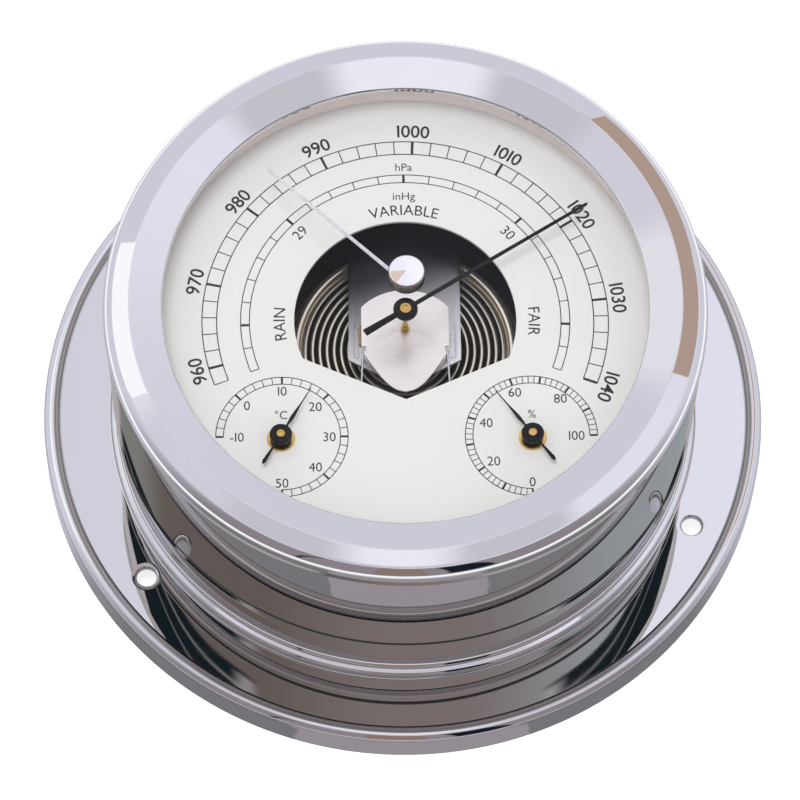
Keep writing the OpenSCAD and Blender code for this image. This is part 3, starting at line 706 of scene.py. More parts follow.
def capsule_bronze():
    """Bright corrugated metal with painted reflection: near black in the folds between its crests,
    bright on the crests.
    """
    base = Vector(colours().capsule)
    made = Finish("capsule_bronze", base, 0.2, 0.9)
    radius = made.radius()
    wobble = made.noise(made.place, 60, 2)
    past_crest = radius + wobble * 0.3 - CREST_R - 0.15
    folds = (past_crest * (math.tau / CREST_GAP) + math.pi / 2).wave()
    # painted reflection: the folds are painted near black, the crests and the outer edge bright
    bright = folds.step(-0.1, 0.25).most(radius.step(22.6, 22.9))
    tarnish = made.noise(made.place, 90, 4)
    crests = made.mixed(base * 0.8, base * 1.04, tarnish)
    made.tint((0.012, 0.011, 0.012), crests, bright)
    made.set("Roughness", tarnish * 0.1 + 0.16)
    rings = made.noise(made.node("ShaderNodeCombineXYZ", None, {0: radius}), 6, 2)
    made.bump(rings, 0.05, 0.01)
    return made


def bimetal():
    return brass_like("bimetal", (0.72, 0.45, 0.28), 9, 0.3)


def humidity_strip():
    return brass_like("humidity_strip", (0.5, 0.45, 0.36), 9, 0.36)


def brushed(name, base, along, rough=0.3, strength=0.08):
    """Metal brushed along one axis."""
    made = Finish(name, base, rough, 1.0)
    base = Vector(base)
    lines = made.noise(made.scaled(made.place, along), 100, 3)
    cloud = made.noise(made.place, 60, 3)
    made.tint(base * 0.86, base * 1.06, lines.step(0.3, 0.7))
    made.set("Roughness", lines * 0.14 + cloud * 0.08 + (rough - 0.1))
    made.bump(lines, strength, 0.01)
    return made


def bridge_steel():
    """Grey satin plate with a painted shadow of the dial darkening its upper end, and tiny bright pits
    in that shadow.
    """
    made = Finish("bridge_steel", (0.5, 0.5, 0.5), 0.45, 1.0)
    lines = made.noise(made.scaled(made.place, (60, 2, 60)), 100, 3)
    x, y, _ = made.parts(made.place)
    # painted shadow: the plate darkens towards its upper end, which lies under the dial
    painted_dial_shadow = (y * 1000 - x * 350).step(-8, 19)
    colour = made.mixed((0.92, 0.89, 0.87), (0.03, 0.03, 0.033), painted_dial_shadow)
    pits = 1 - made.flecks(made.place, 640).step(0.03, 0.09)
    made.tint(colour, (0.7, 0.68, 0.66), pits * painted_dial_shadow * 0.4)
    made.set("Roughness", lines * 0.12 + 0.3)
    made.bump(lines, 0.04, 0.01)
    return made


def shield_steel():
    """Pale satin shield with a hardly visible brushing."""
    base = Vector(colours().shield)
    made = Finish("shield_steel", base, 0.42, 0.75)
    lines = made.noise(made.scaled(made.place, (1.5, 30, 30)), 100, 3)
    made.tint(base * 0.97, base * 1.02, lines.step(0.3, 0.7))
    made.set("Roughness", lines * 0.05 + 0.38)
    made.bump(lines, 0.01, 0.01)
    return made


def bright_steel():
    return brushed("bright_steel", (0.78, 0.77, 0.77), (9, 9, 30), 0.25)


def spring_steel():
    return brushed("spring_steel", (0.16, 0.2, 0.34), (20, 20, 4), 0.28)


def set_hand_silver():
    return brushed("set_hand_silver", (0.84, 0.83, 0.82), (12, 12, 12), 0.3)


def base_black():
    """Blackened movement parts and the drum tube, inside and out; on the drum's outside, seen only in
    the gap under the bezel, the black is painted shade.
    """
    return grained("base_black", 900, ((0.010, 0.010, 0.012), (0.032, 0.031, 0.03)),
                   (0.35, 0.75), (0.35, 0.25), (0.15, 0.02))


def cover_plastic():
    """Matt black moulded cover with a fine leather-like grain."""
    made = Finish("cover_plastic", (0.03, 0.03, 0.033), 0.55)
    grain = made.flecks(made.place, 1400)
    cloud = made.noise(made.place, 40, 3)
    made.tint((0.024, 0.024, 0.027), (0.045, 0.044, 0.046), cloud)
    made.set("Roughness", cloud * 0.15 + 0.48)
    made.bump(grain, 0.25, 0.05)
    return made


def spacer_paint():
    """Satin paint of the spacer wall, a little rosy."""
    return grained("spacer_paint", 120, ((0.88, 0.78, 0.76), (0.94, 0.84, 0.82)),
                   None, (0.34, 0.12), (0.05, 0.02))


def gasket_rubber():
    return grained("gasket_rubber", 1100, ((0.022, 0.022, 0.022), (0.045, 0.044, 0.043)),
                   None, (0.6, 0.2), (0.2, 0.03))


def crystal():
    """Clear domed glass: it lets the view through and reflects by angle."""
    made = Finish("crystal", (0.95, 0.97, 1.0), 0.02, 1.0)
    smear = made.noise(made.place, 45, 4)
    made.set("Roughness", smear.step(0.45, 0.8) * 0.03 + 0.01)
    made.bump(smear, 0.02, 0.02)
    clear = made.node("ShaderNodeBsdfTransparent", None, {"Color": (0.995, 0.998, 0.996)})
    outside = 1 - made.node("ShaderNodeNewGeometry", None, None, "Backfacing")
    mirror = made.node("ShaderNodeFresnel", None, {"IOR": 1.3}) * outside
    shine = Amount(made, made.shader.outputs[0])
    out = made.tree.nodes["Material Output"]
    made.feed(out.inputs["Surface"], made.either(mirror, clear, shine))
    return made


FINISH_MAKERS = {
    maker.__name__: maker
    for maker in (chrome, knob_chrome, enamel, ink, pointer_black, brass, capsule_bronze, bimetal,
                  humidity_strip, bridge_steel, shield_steel, bright_steel, spring_steel,
                  set_hand_silver, base_black, cover_plastic, spacer_paint, gasket_rubber, crystal)
}

# CAD nodes that keep their own solid, and the finish each gets
KEPT = {
    "drum_tube": "base_black", "base_plate": "base_black", "adjusting_screw": "brass",
    # the drum tube is black inside and out; on its outside, in the gap under the bezel, this is painted
    # shade
    "cover_pillars": "brass", "capsule_lower_shell": "capsule_bronze", "capsule_boss": "brass",
    "bridge_pillars": "bright_steel", "bridge_screws": "bright_steel",
    "rocker_bearings": "bright_steel", "rocker_shaft": "bright_steel", "sector_gear": "brass",
    "sector_arbor": "bright_steel", "arbor_lower_bush": "brass", "hairspring": "spring_steel",
    "hairspring_stud": "brass", "shield_legs": "bright_steel", "clip_post": "brass",
    "dial_posts": "brass", "thermometer_nut": "brass", "thermometer_bracket": "bright_steel",
    "thermometer_coil": "bimetal", "hygrometer_nut": "brass", "hygrometer_bracket": "bright_steel",
    "hygrometer_coil": "humidity_strip", "glass_gasket": "gasket_rubber",
    "friction_washer": "brass",
}


class StationOperator(bpy.types.Operator):
    """Makes one group of pieces."""

    bl_options = {"REGISTER", "UNDO"}

    def execute(self, context):
        self.make()
        return {"FINISHED"}


class STATION_OT_flange(StationOperator):
    """Makes the spun flange with its rolled rim, beads, collar and screw holes."""

    bl_idname = "station.flange"
    bl_label = "Flange"

    def make(self):
        case = sizes()
        flat = case.flat_height / MM
        under = flat - case.sheet / MM
        rim_w = case.rim_width / MM
        rim_r = rim_w - 1.6
        rim_x = FLANGE_R - rim_r
        rim_z = flat + case.rim_rise / MM - rim_r
        collar_r = TUBE_R + 1.6
        bead_r, bead_x = 1.3, collar_r + 0.9
        bead_z = flat + bead_r
        small_r, small_x = 0.7, collar_r + 0.2
        small_z = bead_z + bead_r + small_r - 0.4
        flat_in, flat_out = bead_x + 1.5, FLANGE_R - rim_w - 0.7
        inner = (
            [(flat_in, flat), (flat_in - 0.25, flat)]
            + rounded([(flat_in - 0.3, flat), (bead_x + 0.95, flat, 0.35), (bead_x + 1.12, flat + 0.6)],
                      False)[1:]
            + arc((bead_x, bead_z - 0.3), bead_r, -10, 56, 12)
            + arc((small_x, small_z), small_r, -48, 56, 12)
            + rounded([(small_x + 0.3, small_z + small_r), (collar_r, small_z + small_r + 0.9, 1.5),
                       (collar_r, COLLAR_TOP, 0.45), (TUBE_R, COLLAR_TOP)], False)[1:]
            + [(TUBE_R, under), (TUBE_R + 0.4, under)]
        )
        outer = (
            [(flat_out, flat), (flat_out + 0.2, flat)]
            + rounded([(flat_out + 0.3, flat), (FLANGE_R - rim_w, flat, 0.3),
                       (FLANGE_R - rim_w + 0.33, flat + 0.91)], False)[1:-1]
            + arc((rim_x, rim_z), rim_r, 140, 0, 24)
            + propped([(FLANGE_R, rim_z - 0.2), (FLANGE_R, 0.0)], False)
            + [(FLANGE_R - 1.4, 0.0), (FLANGE_R - 1.4, rim_z)]
            + arc((rim_x, rim_z), rim_r - 1.4, 0, 90, 6)[1:]
            + [(FLANGE_R - rim_w + 0.3, under), (flat_out, under)]
        )
        bm = bmesh.new()
        spin(bm, propped(inner, False), False)
        spin(bm, outer, False)
        hole = BOLTS["hole_r_mm"]
        rim = propped(rounded([(hole + 1.2, flat), (hole + 0.3, flat, 0.35), (hole, flat - 0.3, 0.2),
                               (hole, under), (hole + 0.6, under)], False), False)
        for k in range(BOLTS["count"]):
            angle = math.degrees(case.hole_turn) + 360 * k / BOLTS["count"]
            at = turned(BOLTS["pcd_mm"] / 2, angle)
            spin(bm, rim, False, 64, at)
        for level in (flat, under):
            rims = [e for e in bm.edges if e.is_boundary
                    and all(abs(v.co.z - level * MM) < 1e-7 for v in e.verts)]
            bmesh.ops.triangle_fill(bm, edges=rims, use_beauty=True, use_dissolve=False,
                                    normal=(0, 0, 1))
        piece("flange", closed_up(bm), "chrome", ["flange_case"], sharp=35)


class STATION_OT_bezel(StationOperator):
    """Makes the bezel with its lip, crest, bevelled shoulder and long skirt."""

    bl_idname = "station.bezel"
    bl_label = "Bezel"

    def make(self):
        case = sizes()
        lip_r = BEZEL_R - case.lip_width / MM
        crest_r = BEZEL_R - case.crest_inset / MM
        lip_z = glass_height(lip_r)
        shoulder = BEZEL_TOP - (BEZEL_R - crest_r) * math.tan(math.radians(15))
        foot_r = TUBE_R + 2.1
        seam_z, seam_r = BEZEL_FOOT + 4.4, BEZEL_R - 1.1
        line = rounded([
            (lip_r, lip_z), (lip_r, lip_z + 0.95, 0.45), (crest_r, BEZEL_TOP, 0.7),
            (BEZEL_R, shoulder, 3.0), (BEZEL_R, shoulder - 2.9, 2.0),
            (BEZEL_R - 0.35, shoulder - 5.2, 3.0), (BEZEL_R - 0.5, seam_z + 0.65, 0.2),
            (seam_r, seam_z + 0.65), (seam_r, seam_z - 0.65), (BEZEL_R - 0.65, seam_z - 0.65, 0.3),
            (BEZEL_R - 0.7, BEZEL_FOOT, 1.3),
            (TUBE_R + 0.05, BEZEL_FOOT), (TUBE_R + 0.05, BEZEL_FOOT + 1.2),
            (foot_r - 1.2, BEZEL_FOOT + 1.2), (BEZEL_R - 1.55, shoulder - 5.2),
            (BEZEL_R - 1.2, shoulder - 1.2, 1.5), (crest_r, BEZEL_TOP - 1.25),
        ], turn=4)
        piece("bezel", spun(propped(line)), "chrome", ["bezel_ring"],
              sharp=35)
        seam = rounded([(seam_r - 0.05, seam_z - 0.64), (seam_r + 0.54, seam_z - 0.64, 0.1),
                        (seam_r + 0.54, seam_z + 0.64, 0.1), (seam_r - 0.05, seam_z + 0.64)])
        piece("bezel_seam", spun(seam), "gasket_rubber")


def glass_centre():
    """Height of the centre of the glass's sphere in mm."""
    radius = sizes().glass_radius / MM
    return high("glass_dome").z - math.sqrt(radius ** 2 - GLASS_BORE ** 2)


def glass_height(r):
    """Height of the glass's outer face at a radius in mm."""
    return glass_centre() + math.sqrt((sizes().glass_radius / MM) ** 2 - r * r)


class STATION_OT_glass(StationOperator):
    """Makes the domed glass and the painted spacer under it."""

    bl_idname = "station.glass"
    bl_label = "Glass and spacer"

    def make(self):
        case = sizes()
        outer_r = case.glass_radius / MM
        inner_r = outer_r - case.glass_thickness / MM
        centre = glass_centre()
        count = 40
        rim_in = GLASS_EDGE - 1.0
        top = [(r, centre + math.sqrt(outer_r ** 2 - r * r))
               for r in (GLASS_BORE + (GLASS_EDGE - GLASS_BORE) * i / count for i in range(count + 1))]
        under = [(r, centre + math.sqrt(inner_r ** 2 - r * r))
                 for r in (rim_in + (GLASS_BORE - rim_in) * i / count for i in range(count + 1))]
        line = top + [(GLASS_EDGE, GLASS_SEAT)] + under
        piece("glass", spun(line), "crystal", ["glass_dome"])
        wall = low("glass_gasket").z
        bore_r = high("glass_gasket").x - 2.0
        spacer = rounded([
            (bore_r, DIAL_Z, 0.1), (TUBE_R - 0.2, DIAL_Z), (TUBE_R - 0.2, DIAL_Z + 1.5, 0.2),
            (GLASS_EDGE + 1.2, DIAL_Z + 1.5), (GLASS_EDGE + 1.2, SPACER_TOP, 0.2),
            (GLASS_EDGE + 0.15, SPACER_TOP, 0.2), (GLASS_EDGE + 0.15, wall), (bore_r, wall, 0.25),
        ])
        piece("spacer", spun(propped(spacer)), "spacer_paint", ["spacer_ring"])


class STATION_OT_back(StationOperator):
    """Makes the rear cover with its vents and the slotted screws that hold it."""

    bl_idname = "station.back"
    bl_label = "Rear cover"

    def make(self):
        bottom, top = low("rear_cover").z, high("rear_cover").z
        vents = [turned(32, (k + 0.5) * 45) for k in range(8)]
        screws = [turned(42, 60 + 120 * k) for k in range(3)]
        holes = [arc((0, 0), 4.5, 0, 360, 64)[:-1]]
        holes += [arc(v, 2.0, 0, 360, 40)[:-1] for v in vents]
        holes += [arc(s, 1.5, 0, 360, 32)[:-1] for s in screws]
        rim = arc((0, 0), high("rear_cover").x, 0, 360, ROUND)[:-1]
        piece("rear_cover_plate", plate([rim] + holes, bottom, top, 0.25), "cover_plastic",
              ["rear_cover"])
        head_low = low("rear_cover_screws").z
        for k, at in enumerate(screws):
            head = rounded([(0, bottom), (1.25, bottom), (1.25, top + 6, 0.3), (0, top + 6)], False)
            cap = rounded([(0, head_low), (2.6, head_low, 0.5), (2.6, bottom, 0.15), (0, bottom)], False)
            screw = joined(lathed(cap, 48), lathed(head, 32))
            shifted(rotated(screw, 30 + 70 * k), at.x, at.y)
            piece(f"rear_screw_{k + 1}", screw, "bright_steel", ["rear_cover_screws"])
            slot = plate([[(-2.3, -0.35), (2.3, -0.35), (2.3, 0.35), (-2.3, 0.35)]],
                         head_low - 0.02, head_low + 0.01)
            shifted(rotated(slot, 30 + 70 * k), at.x, at.y)
            piece(f"rear_screw_slot_{k + 1}", slot, "base_black")


class STATION_OT_capsule(StationOperator):
    """Makes the capsule's corrugated upper shell."""

    bl_idname = "station.capsule"
    bl_label = "Capsule"

    def make(self):
        edge = high("capsule_upper_shell").x
        rim_z = low("capsule_upper_shell").z
        rise = high("capsule_upper_shell").z - rim_z - 0.35
        boss_r = high("capsule_boss").x
        wave_in = boss_r + 0.04
        wave_h, steps = 0.7, 260
        line = [(edge, rim_z), (edge - 0.9, rim_z)]
        line += arc((edge - 2.2, rim_z + rise - 1.1), 1.1, 0, 180, 20)
        for i in range(steps + 1):
            r = CREST_R + (wave_in - CREST_R) * i / steps
            fall = (1 - math.cos(2 * math.pi * (CREST_R - r) / CREST_GAP)) / 2
            line.append((r, rim_z + rise - 1 - wave_h * fall ** 2))
        upper = [(r, z + 0.35) for r, z in line]
        piece("capsule_top", spun(upper + line[::-1]), "capsule_bronze", ["capsule_upper_shell"],
              sharp=50)


class STATION_OT_bridge(StationOperator):
    """Makes the brushed bridge plate, its pin, the shield, its wires and the upper bush."""

    bl_idname = "station.bridge"
    bl_label = "Bridge and shield"

    def make(self):
        half = high("bridge_plate").x
        front, end = low("bridge_plate").y, high("bridge_plate").y
        slot_x = half - 1.85
        slot_low, slot_high = -4.8, 2.9
        outline = rounded([
            (-half, end, 0.4), (-half, front + 3.7, 0.5), (-half + 7, front, 0.5),
            (half - 7, front, 0.5), (half, front + 3.7, 0.5), (half, end, 0.4)], turn=20)

        def slot_line(side, inset, bend):
            x, reach = side * slot_x, 0.55 - inset
            return rounded([
                (x - reach, slot_low + inset, bend), (x + reach, slot_low + inset, bend),
                (x + reach, slot_high - inset, bend), (x - reach, slot_high - inset, bend)], turn=20)

        slots = [slot_line(s, 0, 0.5) for s in (-1, 1)]
        bore = arc((0, 0), 1.6, 0, 360, 40)[:-1]
        piece("bridge", plate([outline, bore] + slots, BRIDGE_UNDER, BRIDGE_Z, 0.12),
              "bridge_steel", ["bridge_plate"], sharp=40)
        bars = [plate([slot_line(s, 0.16, 0.351)], BRIDGE_UNDER, BRIDGE_Z - 0.05) for s in (-1, 1)]
        piece("bridge_bars", joined(*bars), "bridge_steel")
        loops = [plate([slot_line(s, 0.01, 0.486), slot_line(s, 0.15, 0.36)],
                       BRIDGE_UNDER, BRIDGE_Z + 0.08) for s in (-1, 1)]
        piece("bridge_loops", joined(*loops), "bright_steel")
        pin_x, pin_r = -(slot_x - 0.7), 0.3
        pin_ends = [(pin_x, y, BRIDGE_Z + pin_r) for y in (-1.6, slot_high)]
        piece("bridge_pin_gold", wire(pin_ends, pin_r), "brass", ["bridge_pin"])
        self.shield()
        clip = 0.25
        foot_y, foot_z = -30.0, low("shield_clip").z + clip
        wires = []
        for s in (-1, 1):
            hook = s * (high("shield_plate").x - 0.4)
            wires.append([(hook, -5.1, BRIDGE_Z), (hook, -5.1, SHIELD_Z + 0.1),
                          (s * 10.8, foot_y, foot_z)])
        wires.append([(s * 10.8, foot_y, foot_z) for s in (-1, 1)])
        piece("shield_wires", joined(*[wire(w, clip) for w in wires]), "bright_steel",
              ["shield_clip"])
        bush = rounded([(0.54, SHIELD_UNDER), (0.95, SHIELD_UNDER), (0.95, SHIELD_Z + 0.3, 0.1),
                        (0.75, SHIELD_Z + 0.3), (0.75, SHIELD_Z + 1.5, 0.12), (0.54, SHIELD_Z + 1.5)])
        piece("arbor_bush", spun(bush, 64), "brass", ["arbor_upper_bush"])

    def shield(self):
        """Arched head, straight sides and a rounded point."""
        half, head_y = high("shield_plate").x, high("shield_plate").y
        head_r, side_y, point = 13.3, 5.5, 10.0
        side = [(half * math.sqrt(1 - (i / 24) ** 0.8), -side_y - point * i / 24) for i in range(25)]
        opening = math.degrees(math.acos((half - 0.5) / head_r))
        head = arc((0, head_y - head_r), head_r, opening, 180 - opening, 32)
        notch = [(half, head[0][1] - 0.6), (half, -4.3), (half - 1.0, -4.3),
                 (half - 1.0, -5.45), (half, -5.45)]
        right = notch + side
        left = [(-x, y) for x, y in right]
        outline = head + left + right[-2::-1]
        bore = arc((0, 0), 0.96, 0, 360, 40)[:-1]
        piece("shield", plate([outline, bore], SHIELD_UNDER, SHIELD_Z, 0.06), "shield_steel",
              ["shield_plate"], sharp=40)


class STATION_OT_dial(StationOperator):
    """Makes the dial with its window."""

    bl_idname = "station.dial"
    bl_label = "Dial"

    def make(self):
        d = dial()
        window, corner, tip = d.window / MM, d.window_corner / MM, d.window_tip / MM
        corner_a = math.degrees(math.asin(corner / window))
        opening = arc((0, 0), window, -corner_a, 180 + corner_a, 160) + [(0, -tip)]
        holes = [arc((s * PIVOT.x, PIVOT.y), 2.1, 0, 360, 40)[:-1] for s in (-1, 1)]
        rim = arc((0, 0), DIAL_R, 0, 360, ROUND)[:-1]
        piece("dial", plate([rim, opening] + holes, DIAL_UNDER, DIAL_Z, 0.06), "enamel",
              ["dial_plate"], sharp=40)


class Print:
    """Flat ink on the dial, gathered in one mesh and then given its thickness."""

    def __init__(self, centre=(0, 0)):
        self.bm = bmesh.new()
        self.centre = centre

    def band(self, inner, outer, start, end, step=2.0):
        """A band between two radii and two clockwise angles."""
        a, b = turned(inner, start), turned(outer, start)
        shift = Vector((*self.centre, 0))
        verts = [self.bm.verts.new((p + shift) * MM) for p in (a, b)]
        edge = self.bm.edges.new(verts)
        steps = max(1, math.ceil(abs(end - start) / step))
        bmesh.ops.spin(self.bm, geom=verts + [edge], cent=shift * MM, axis=(0, 0, 1),
                       angle=-math.radians(end - start), steps=steps,
                       use_merge=False, use_normal_flip=False, use_duplicate=False)

    def tick(self, inner, outer, angle, width):
        half = math.degrees(width / 2 / outer)
        self.band(inner, outer, angle - half, angle + half)

    def letters(self, text, height, place, bold=0.0):
        """Adds a word, each point of it moved by place(along, up) in mm."""
        curve = bpy.data.curves.new("letters", "FONT")
        curve.body = text
        curve.align_x = "CENTER"
        curve.resolution_u = 4
        curve.size = 1.0
        curve.offset = bold
        obj = bpy.data.objects.new("letters", curve)
        bpy.context.scene.collection.objects.link(obj)
        bpy.context.view_layer.update()
        shown = obj.evaluated_get(bpy.context.evaluated_depsgraph_get())
        mesh = bpy.data.meshes.new_from_object(shown)
        for vert in mesh.vertices:
            x, y = place(vert.co.x * height / CAP_HEIGHT, vert.co.y * height / CAP_HEIGHT)
            vert.co = (x * MM, y * MM, 0)
        self.bm.from_mesh(mesh)
        bpy.data.objects.remove(obj)
        bpy.data.curves.remove(curve)
        bpy.data.meshes.remove(mesh)

    def round(self, text, height, radius, angle, squeeze=1.0, bold=0.0):
        """A word on an arc round the dial's middle, its feet towards the middle."""
        def place(along, up):
            at = turned(radius - height / 2 + up, angle + math.degrees(along * squeeze / radius))
            return at.x, at.y
        self.letters(text, height, place, bold)

    def upright(self, text, height, x, y, squeeze=1.0):
        self.letters(text, height, lambda along, up: (x + along * squeeze, y - height / 2 + up))

    def finished(self, name):
        thick = 0.02
        bmesh.ops.remove_doubles(self.bm, verts=self.bm.verts, dist=1e-7)
        made = bmesh.ops.extrude_face_region(self.bm, geom=self.bm.faces[:])
        up = [g for g in made["geom"] if isinstance(g, bmesh.types.BMVert)]
        bmesh.ops.translate(self.bm, verts=self.bm.verts, vec=(0, 0, (DIAL_Z - 0.004) * MM))
        bmesh.ops.translate(self.bm, verts=up, vec=(0, 0, thick * MM))
        bmesh.ops.recalc_face_normals(self.bm, faces=self.bm.faces)
        return piece(name, self.bm, "ink")


class STATION_OT_scales(StationOperator):
    """Prints the pressure, inch, temperature and humidity scales and the generic words."""

    bl_idname = "station.scales"
    bl_label = "Printed scales"

    def make(self):
        d = dial()
        self.pressure_scale(d.pressure_ring / MM, d.numeral / MM)
        self.inch_scale(d.inch_ring / MM)
        ring, size = d.small_ring / MM, d.small_numeral / MM
        self.small_scale("temperature_scale", -1, ring, size, celsius_angle, range(-10, 51, 2),
                         range(-10, 51, 10), "°C")
        self.small_scale("humidity_scale", 1, ring, size, humidity_angle, range(0, 101, 2),
                         range(0, 101, 20), "%")
        words = Print()
        words.round("VARIABLE", 2.7, 27.6, 0, 0.98)
        words.round("RAIN", 2.7, 28.0, -92, 1.0)
        words.round("FAIR", 2.7, 28.7, 91, 1.0)
        words.finished("weather_words")

    def pressure_scale(self, outer, numeral):
        inner = outer - 3.24
        rings = Print()
        for r in (outer, inner):
            rings.band(r - 0.12, r + 0.12, pressure_angle(958), pressure_angle(1040))
        for value in range(958, 1041, 2):
            rings.tick(inner, outer, pressure_angle(value), 0.24 if value % 10 else 0.62)
        rings.finished("pressure_scale")
        numbers = Print()
        for value in range(960, 1041, 10):
            figures = str(value).replace("1", "I")
            numbers.round(figures, numeral, outer + 2.75, pressure_angle(value), 1.0, 0.011)
        numbers.finished("pressure_numerals")
        unit = Print()
        unit.upright("hPa", 2.0, 0, 38.5)
        unit.finished("pressure_unit")

    def inch_scale(self, outer):
        inner = outer - 1.95
        rings = Print()
        for r in (outer, inner):
            rings.band(r - 0.11, r + 0.11, inch_angle(28.3), inch_angle(30.7))
        for tenth in range(283, 308):
            rings.tick(inner, outer, inch_angle(tenth / 10), 0.22 if tenth % 5 else 0.6)
        rings.finished("inch_scale")
        numbers = Print()
        numbers.round("29", 2.5, 32.0, -46.8)
        numbers.round("30", 2.5, 31.8, 46.9)
        numbers.upright("inHg", 2.0, 0, 31.1)
        numbers.finished("inch_numerals")

    def small_scale(self, name, side, outer, size, angle_of, marks, labels, unit):
        """A scale round one small dial, with a line at each mark and a numeral at each label."""
        centre = (side * 27.3, -28.6)
        inner = outer - 1.68
        rings = Print(centre)
        for r in (outer, inner):
            rings.band(r - 0.1, r + 0.1, angle_of(marks[0]), angle_of(marks[-1]))
        for i, mark in enumerate(marks):
            rings.tick(inner, outer, angle_of(mark), 0.19 if i % 5 else 0.5)
        for label in labels:
            figures, angle = str(label), angle_of(label)
            reach = inner - 1.45 - (0.5 * len(figures) if abs(abs(angle) - 90) < 50 else 0.2)
            at = turned(reach, angle)
            rings.upright(figures.replace("1", "I"), size, centre[0] + at.x, centre[1] + at.y, 0.95)
        rings.upright(unit, size * 0.9, side * 27.5, -23.3, 0.95)
        rings.finished(name)


def pointer_hub(radius, bottom, top, centre=(0, 0), bore=0.0):
    line = [(bore, bottom), (radius, bottom, 0.12), (radius, top, 0.2), (bore, top)]
    if bore:
        return spun(rounded(line), 96, centre)
    return lathed(rounded(line, False), 96, centre)


class STATION_OT_barometer_hand(StationOperator):
    """Makes the barometer's long hand and its gilt arbor."""

    bl_idname = "station.barometer_hand"
    bl_label = "Barometer hand"

    def make(self):
        angle = pressure_angle(readings().pressure)
        tip = 48.8
        blade = rounded([(-0.475, 0), (-0.31, tip - 0.6), (0, tip, 0.15), (0.31, tip - 0.6), (0.475, 0),
                         (0.62, -2.7), (0.8, -10.7, 0.1), (-0.8, -10.7, 0.1), (-0.62, -2.7)])
        low_z = HAND_Z + 0.3
        hub = pointer_hub(2.7, HAND_Z, HUB_TOP, bore=0.72)
        hand = joined(plate([blade], low_z, low_z + 0.4, 0.1), hub)
        piece("pressure_pointer", rotated(hand, angle), "pointer_black", ["barometer_pointer"],
              "pressure_hand", sharp=40)
        under = low("pointer_arbor").z
        arbor = rounded([
            (0, under), (0.4, under), (0.4, BRIDGE_Z + 0.15), (0.5, BRIDGE_Z + 0.15),
            (0.5, HAND_Z - 2.6), (0.85, HAND_Z - 2.6, 0.15), (0.85, HAND_Z - 1.7, 0.1),
            (0.62, HAND_Z - 1.5), (0.62, HAND_Z - 1.1), (0.85, HAND_Z - 0.9, 0.1),
            (0.85, HAND_Z - 0.02), (0.7, HAND_Z), (0.7, HUB_TOP), (1.25, HUB_TOP, 0.05),
            (1.25, HUB_TOP + 0.25, 0.15), (0.75, HUB_TOP + 0.22, 0.1), (0.6, HUB_TOP + 0.05, 0.05),
            (0, HUB_TOP + 0.05)], False)
        pinion = bmesh.new()
        bmesh.ops.create_cone(pinion, cap_ends=True, segments=16, radius1=1.15 * MM,
                              radius2=1.15 * MM, depth=1.2 * MM)
        ring = sorted(pinion.verts, key=lambda v: (round(math.atan2(v.co.y, v.co.x), 3), v.co.z))
        for i, v in enumerate(ring):
            if (i // 2) % 2:
                v.co.x *= 0.72
                v.co.y *= 0.72
        shifted(pinion, z=46.5)
        piece("arbor", joined(lathed(arbor, 64), pinion), "brass", ["pointer_arbor"],
              "pressure_hand")


class STATION_OT_small_hands(StationOperator):
    """Makes the thermometer's and the hygrometer's bushes, hands and gilt caps."""

    bl_idname = "station.small_hands"
    bl_label = "Small hands"

    def make(self):
        state = readings()
        self.instrument("thermometer", -1, celsius_angle(state.temperature))
        self.instrument("hygrometer", 1, humidity_angle(state.humidity))

    def instrument(self, name, side, angle):
        x, y, z = side * PIVOT.x, PIVOT.y, SMALL_HAND_Z
        low_z = low(f"{name}_bush").z
        bush = rounded([(0.54, low_z), (2.1, low_z), (2.1, DIAL_Z), (3.05, DIAL_Z),
                        (3.05, DIAL_Z + 0.5, 0.2), (0.54, DIAL_Z + 0.5)])
        piece(f"{name}_collar", spun(bush, 96, (x, y)), "brass", [f"{name}_bush"])
        leaf = [(0.2, 2.0), (0.24, 3.0), (0.42, 4.7), (0.38, 5.8), (0.26, 7.3), (0.14, 8.6),
                (0.08, 13.2)]
        tail = [(0.2, -2.2), (0.28, -4.5), (0.45, -7.3), (0.1, -8.0)]
        outline = [(-a, b) for a, b in leaf] + [(a, b) for a, b in reversed(leaf)]
        outline += [(a, b) for a, b in tail] + [(-a, b) for a, b in reversed(tail)]
        hub = pointer_hub(2.45, z, z + 1.0, bore=0.52)
        hand = joined(plate([outline], z + 0.2, z + 0.5, 0.05), hub)
        shifted(rotated(hand, angle), x, y)
        piece(f"{name}_hand", hand, "pointer_black", [f"{name}_pointer"], f"{name}_hand", sharp=40)
        under, top = low(f"{name}_arbor").z, high(f"{name}_arbor").z
        cap = rounded([(0, under), (0.5, under), (0.5, top - 0.3), (0.9, top - 0.3, 0.04),
                       (0.9, top, 0.12), (0.55, top - 0.02, 0.08), (0.45, top - 0.16, 0.04),
                       (0, top - 0.16)], False)
        core = spun([(0.5, 45.5), (1.15, 45.5), (1.15, 49.0), (0.5, 49.0)], 32)
        shaft = joined(lathed(cap, 64), core)
        shifted(shaft, x, y)
        piece(f"{name}_shaft", shaft, "brass", [f"{name}_arbor"], f"{name}_hand")


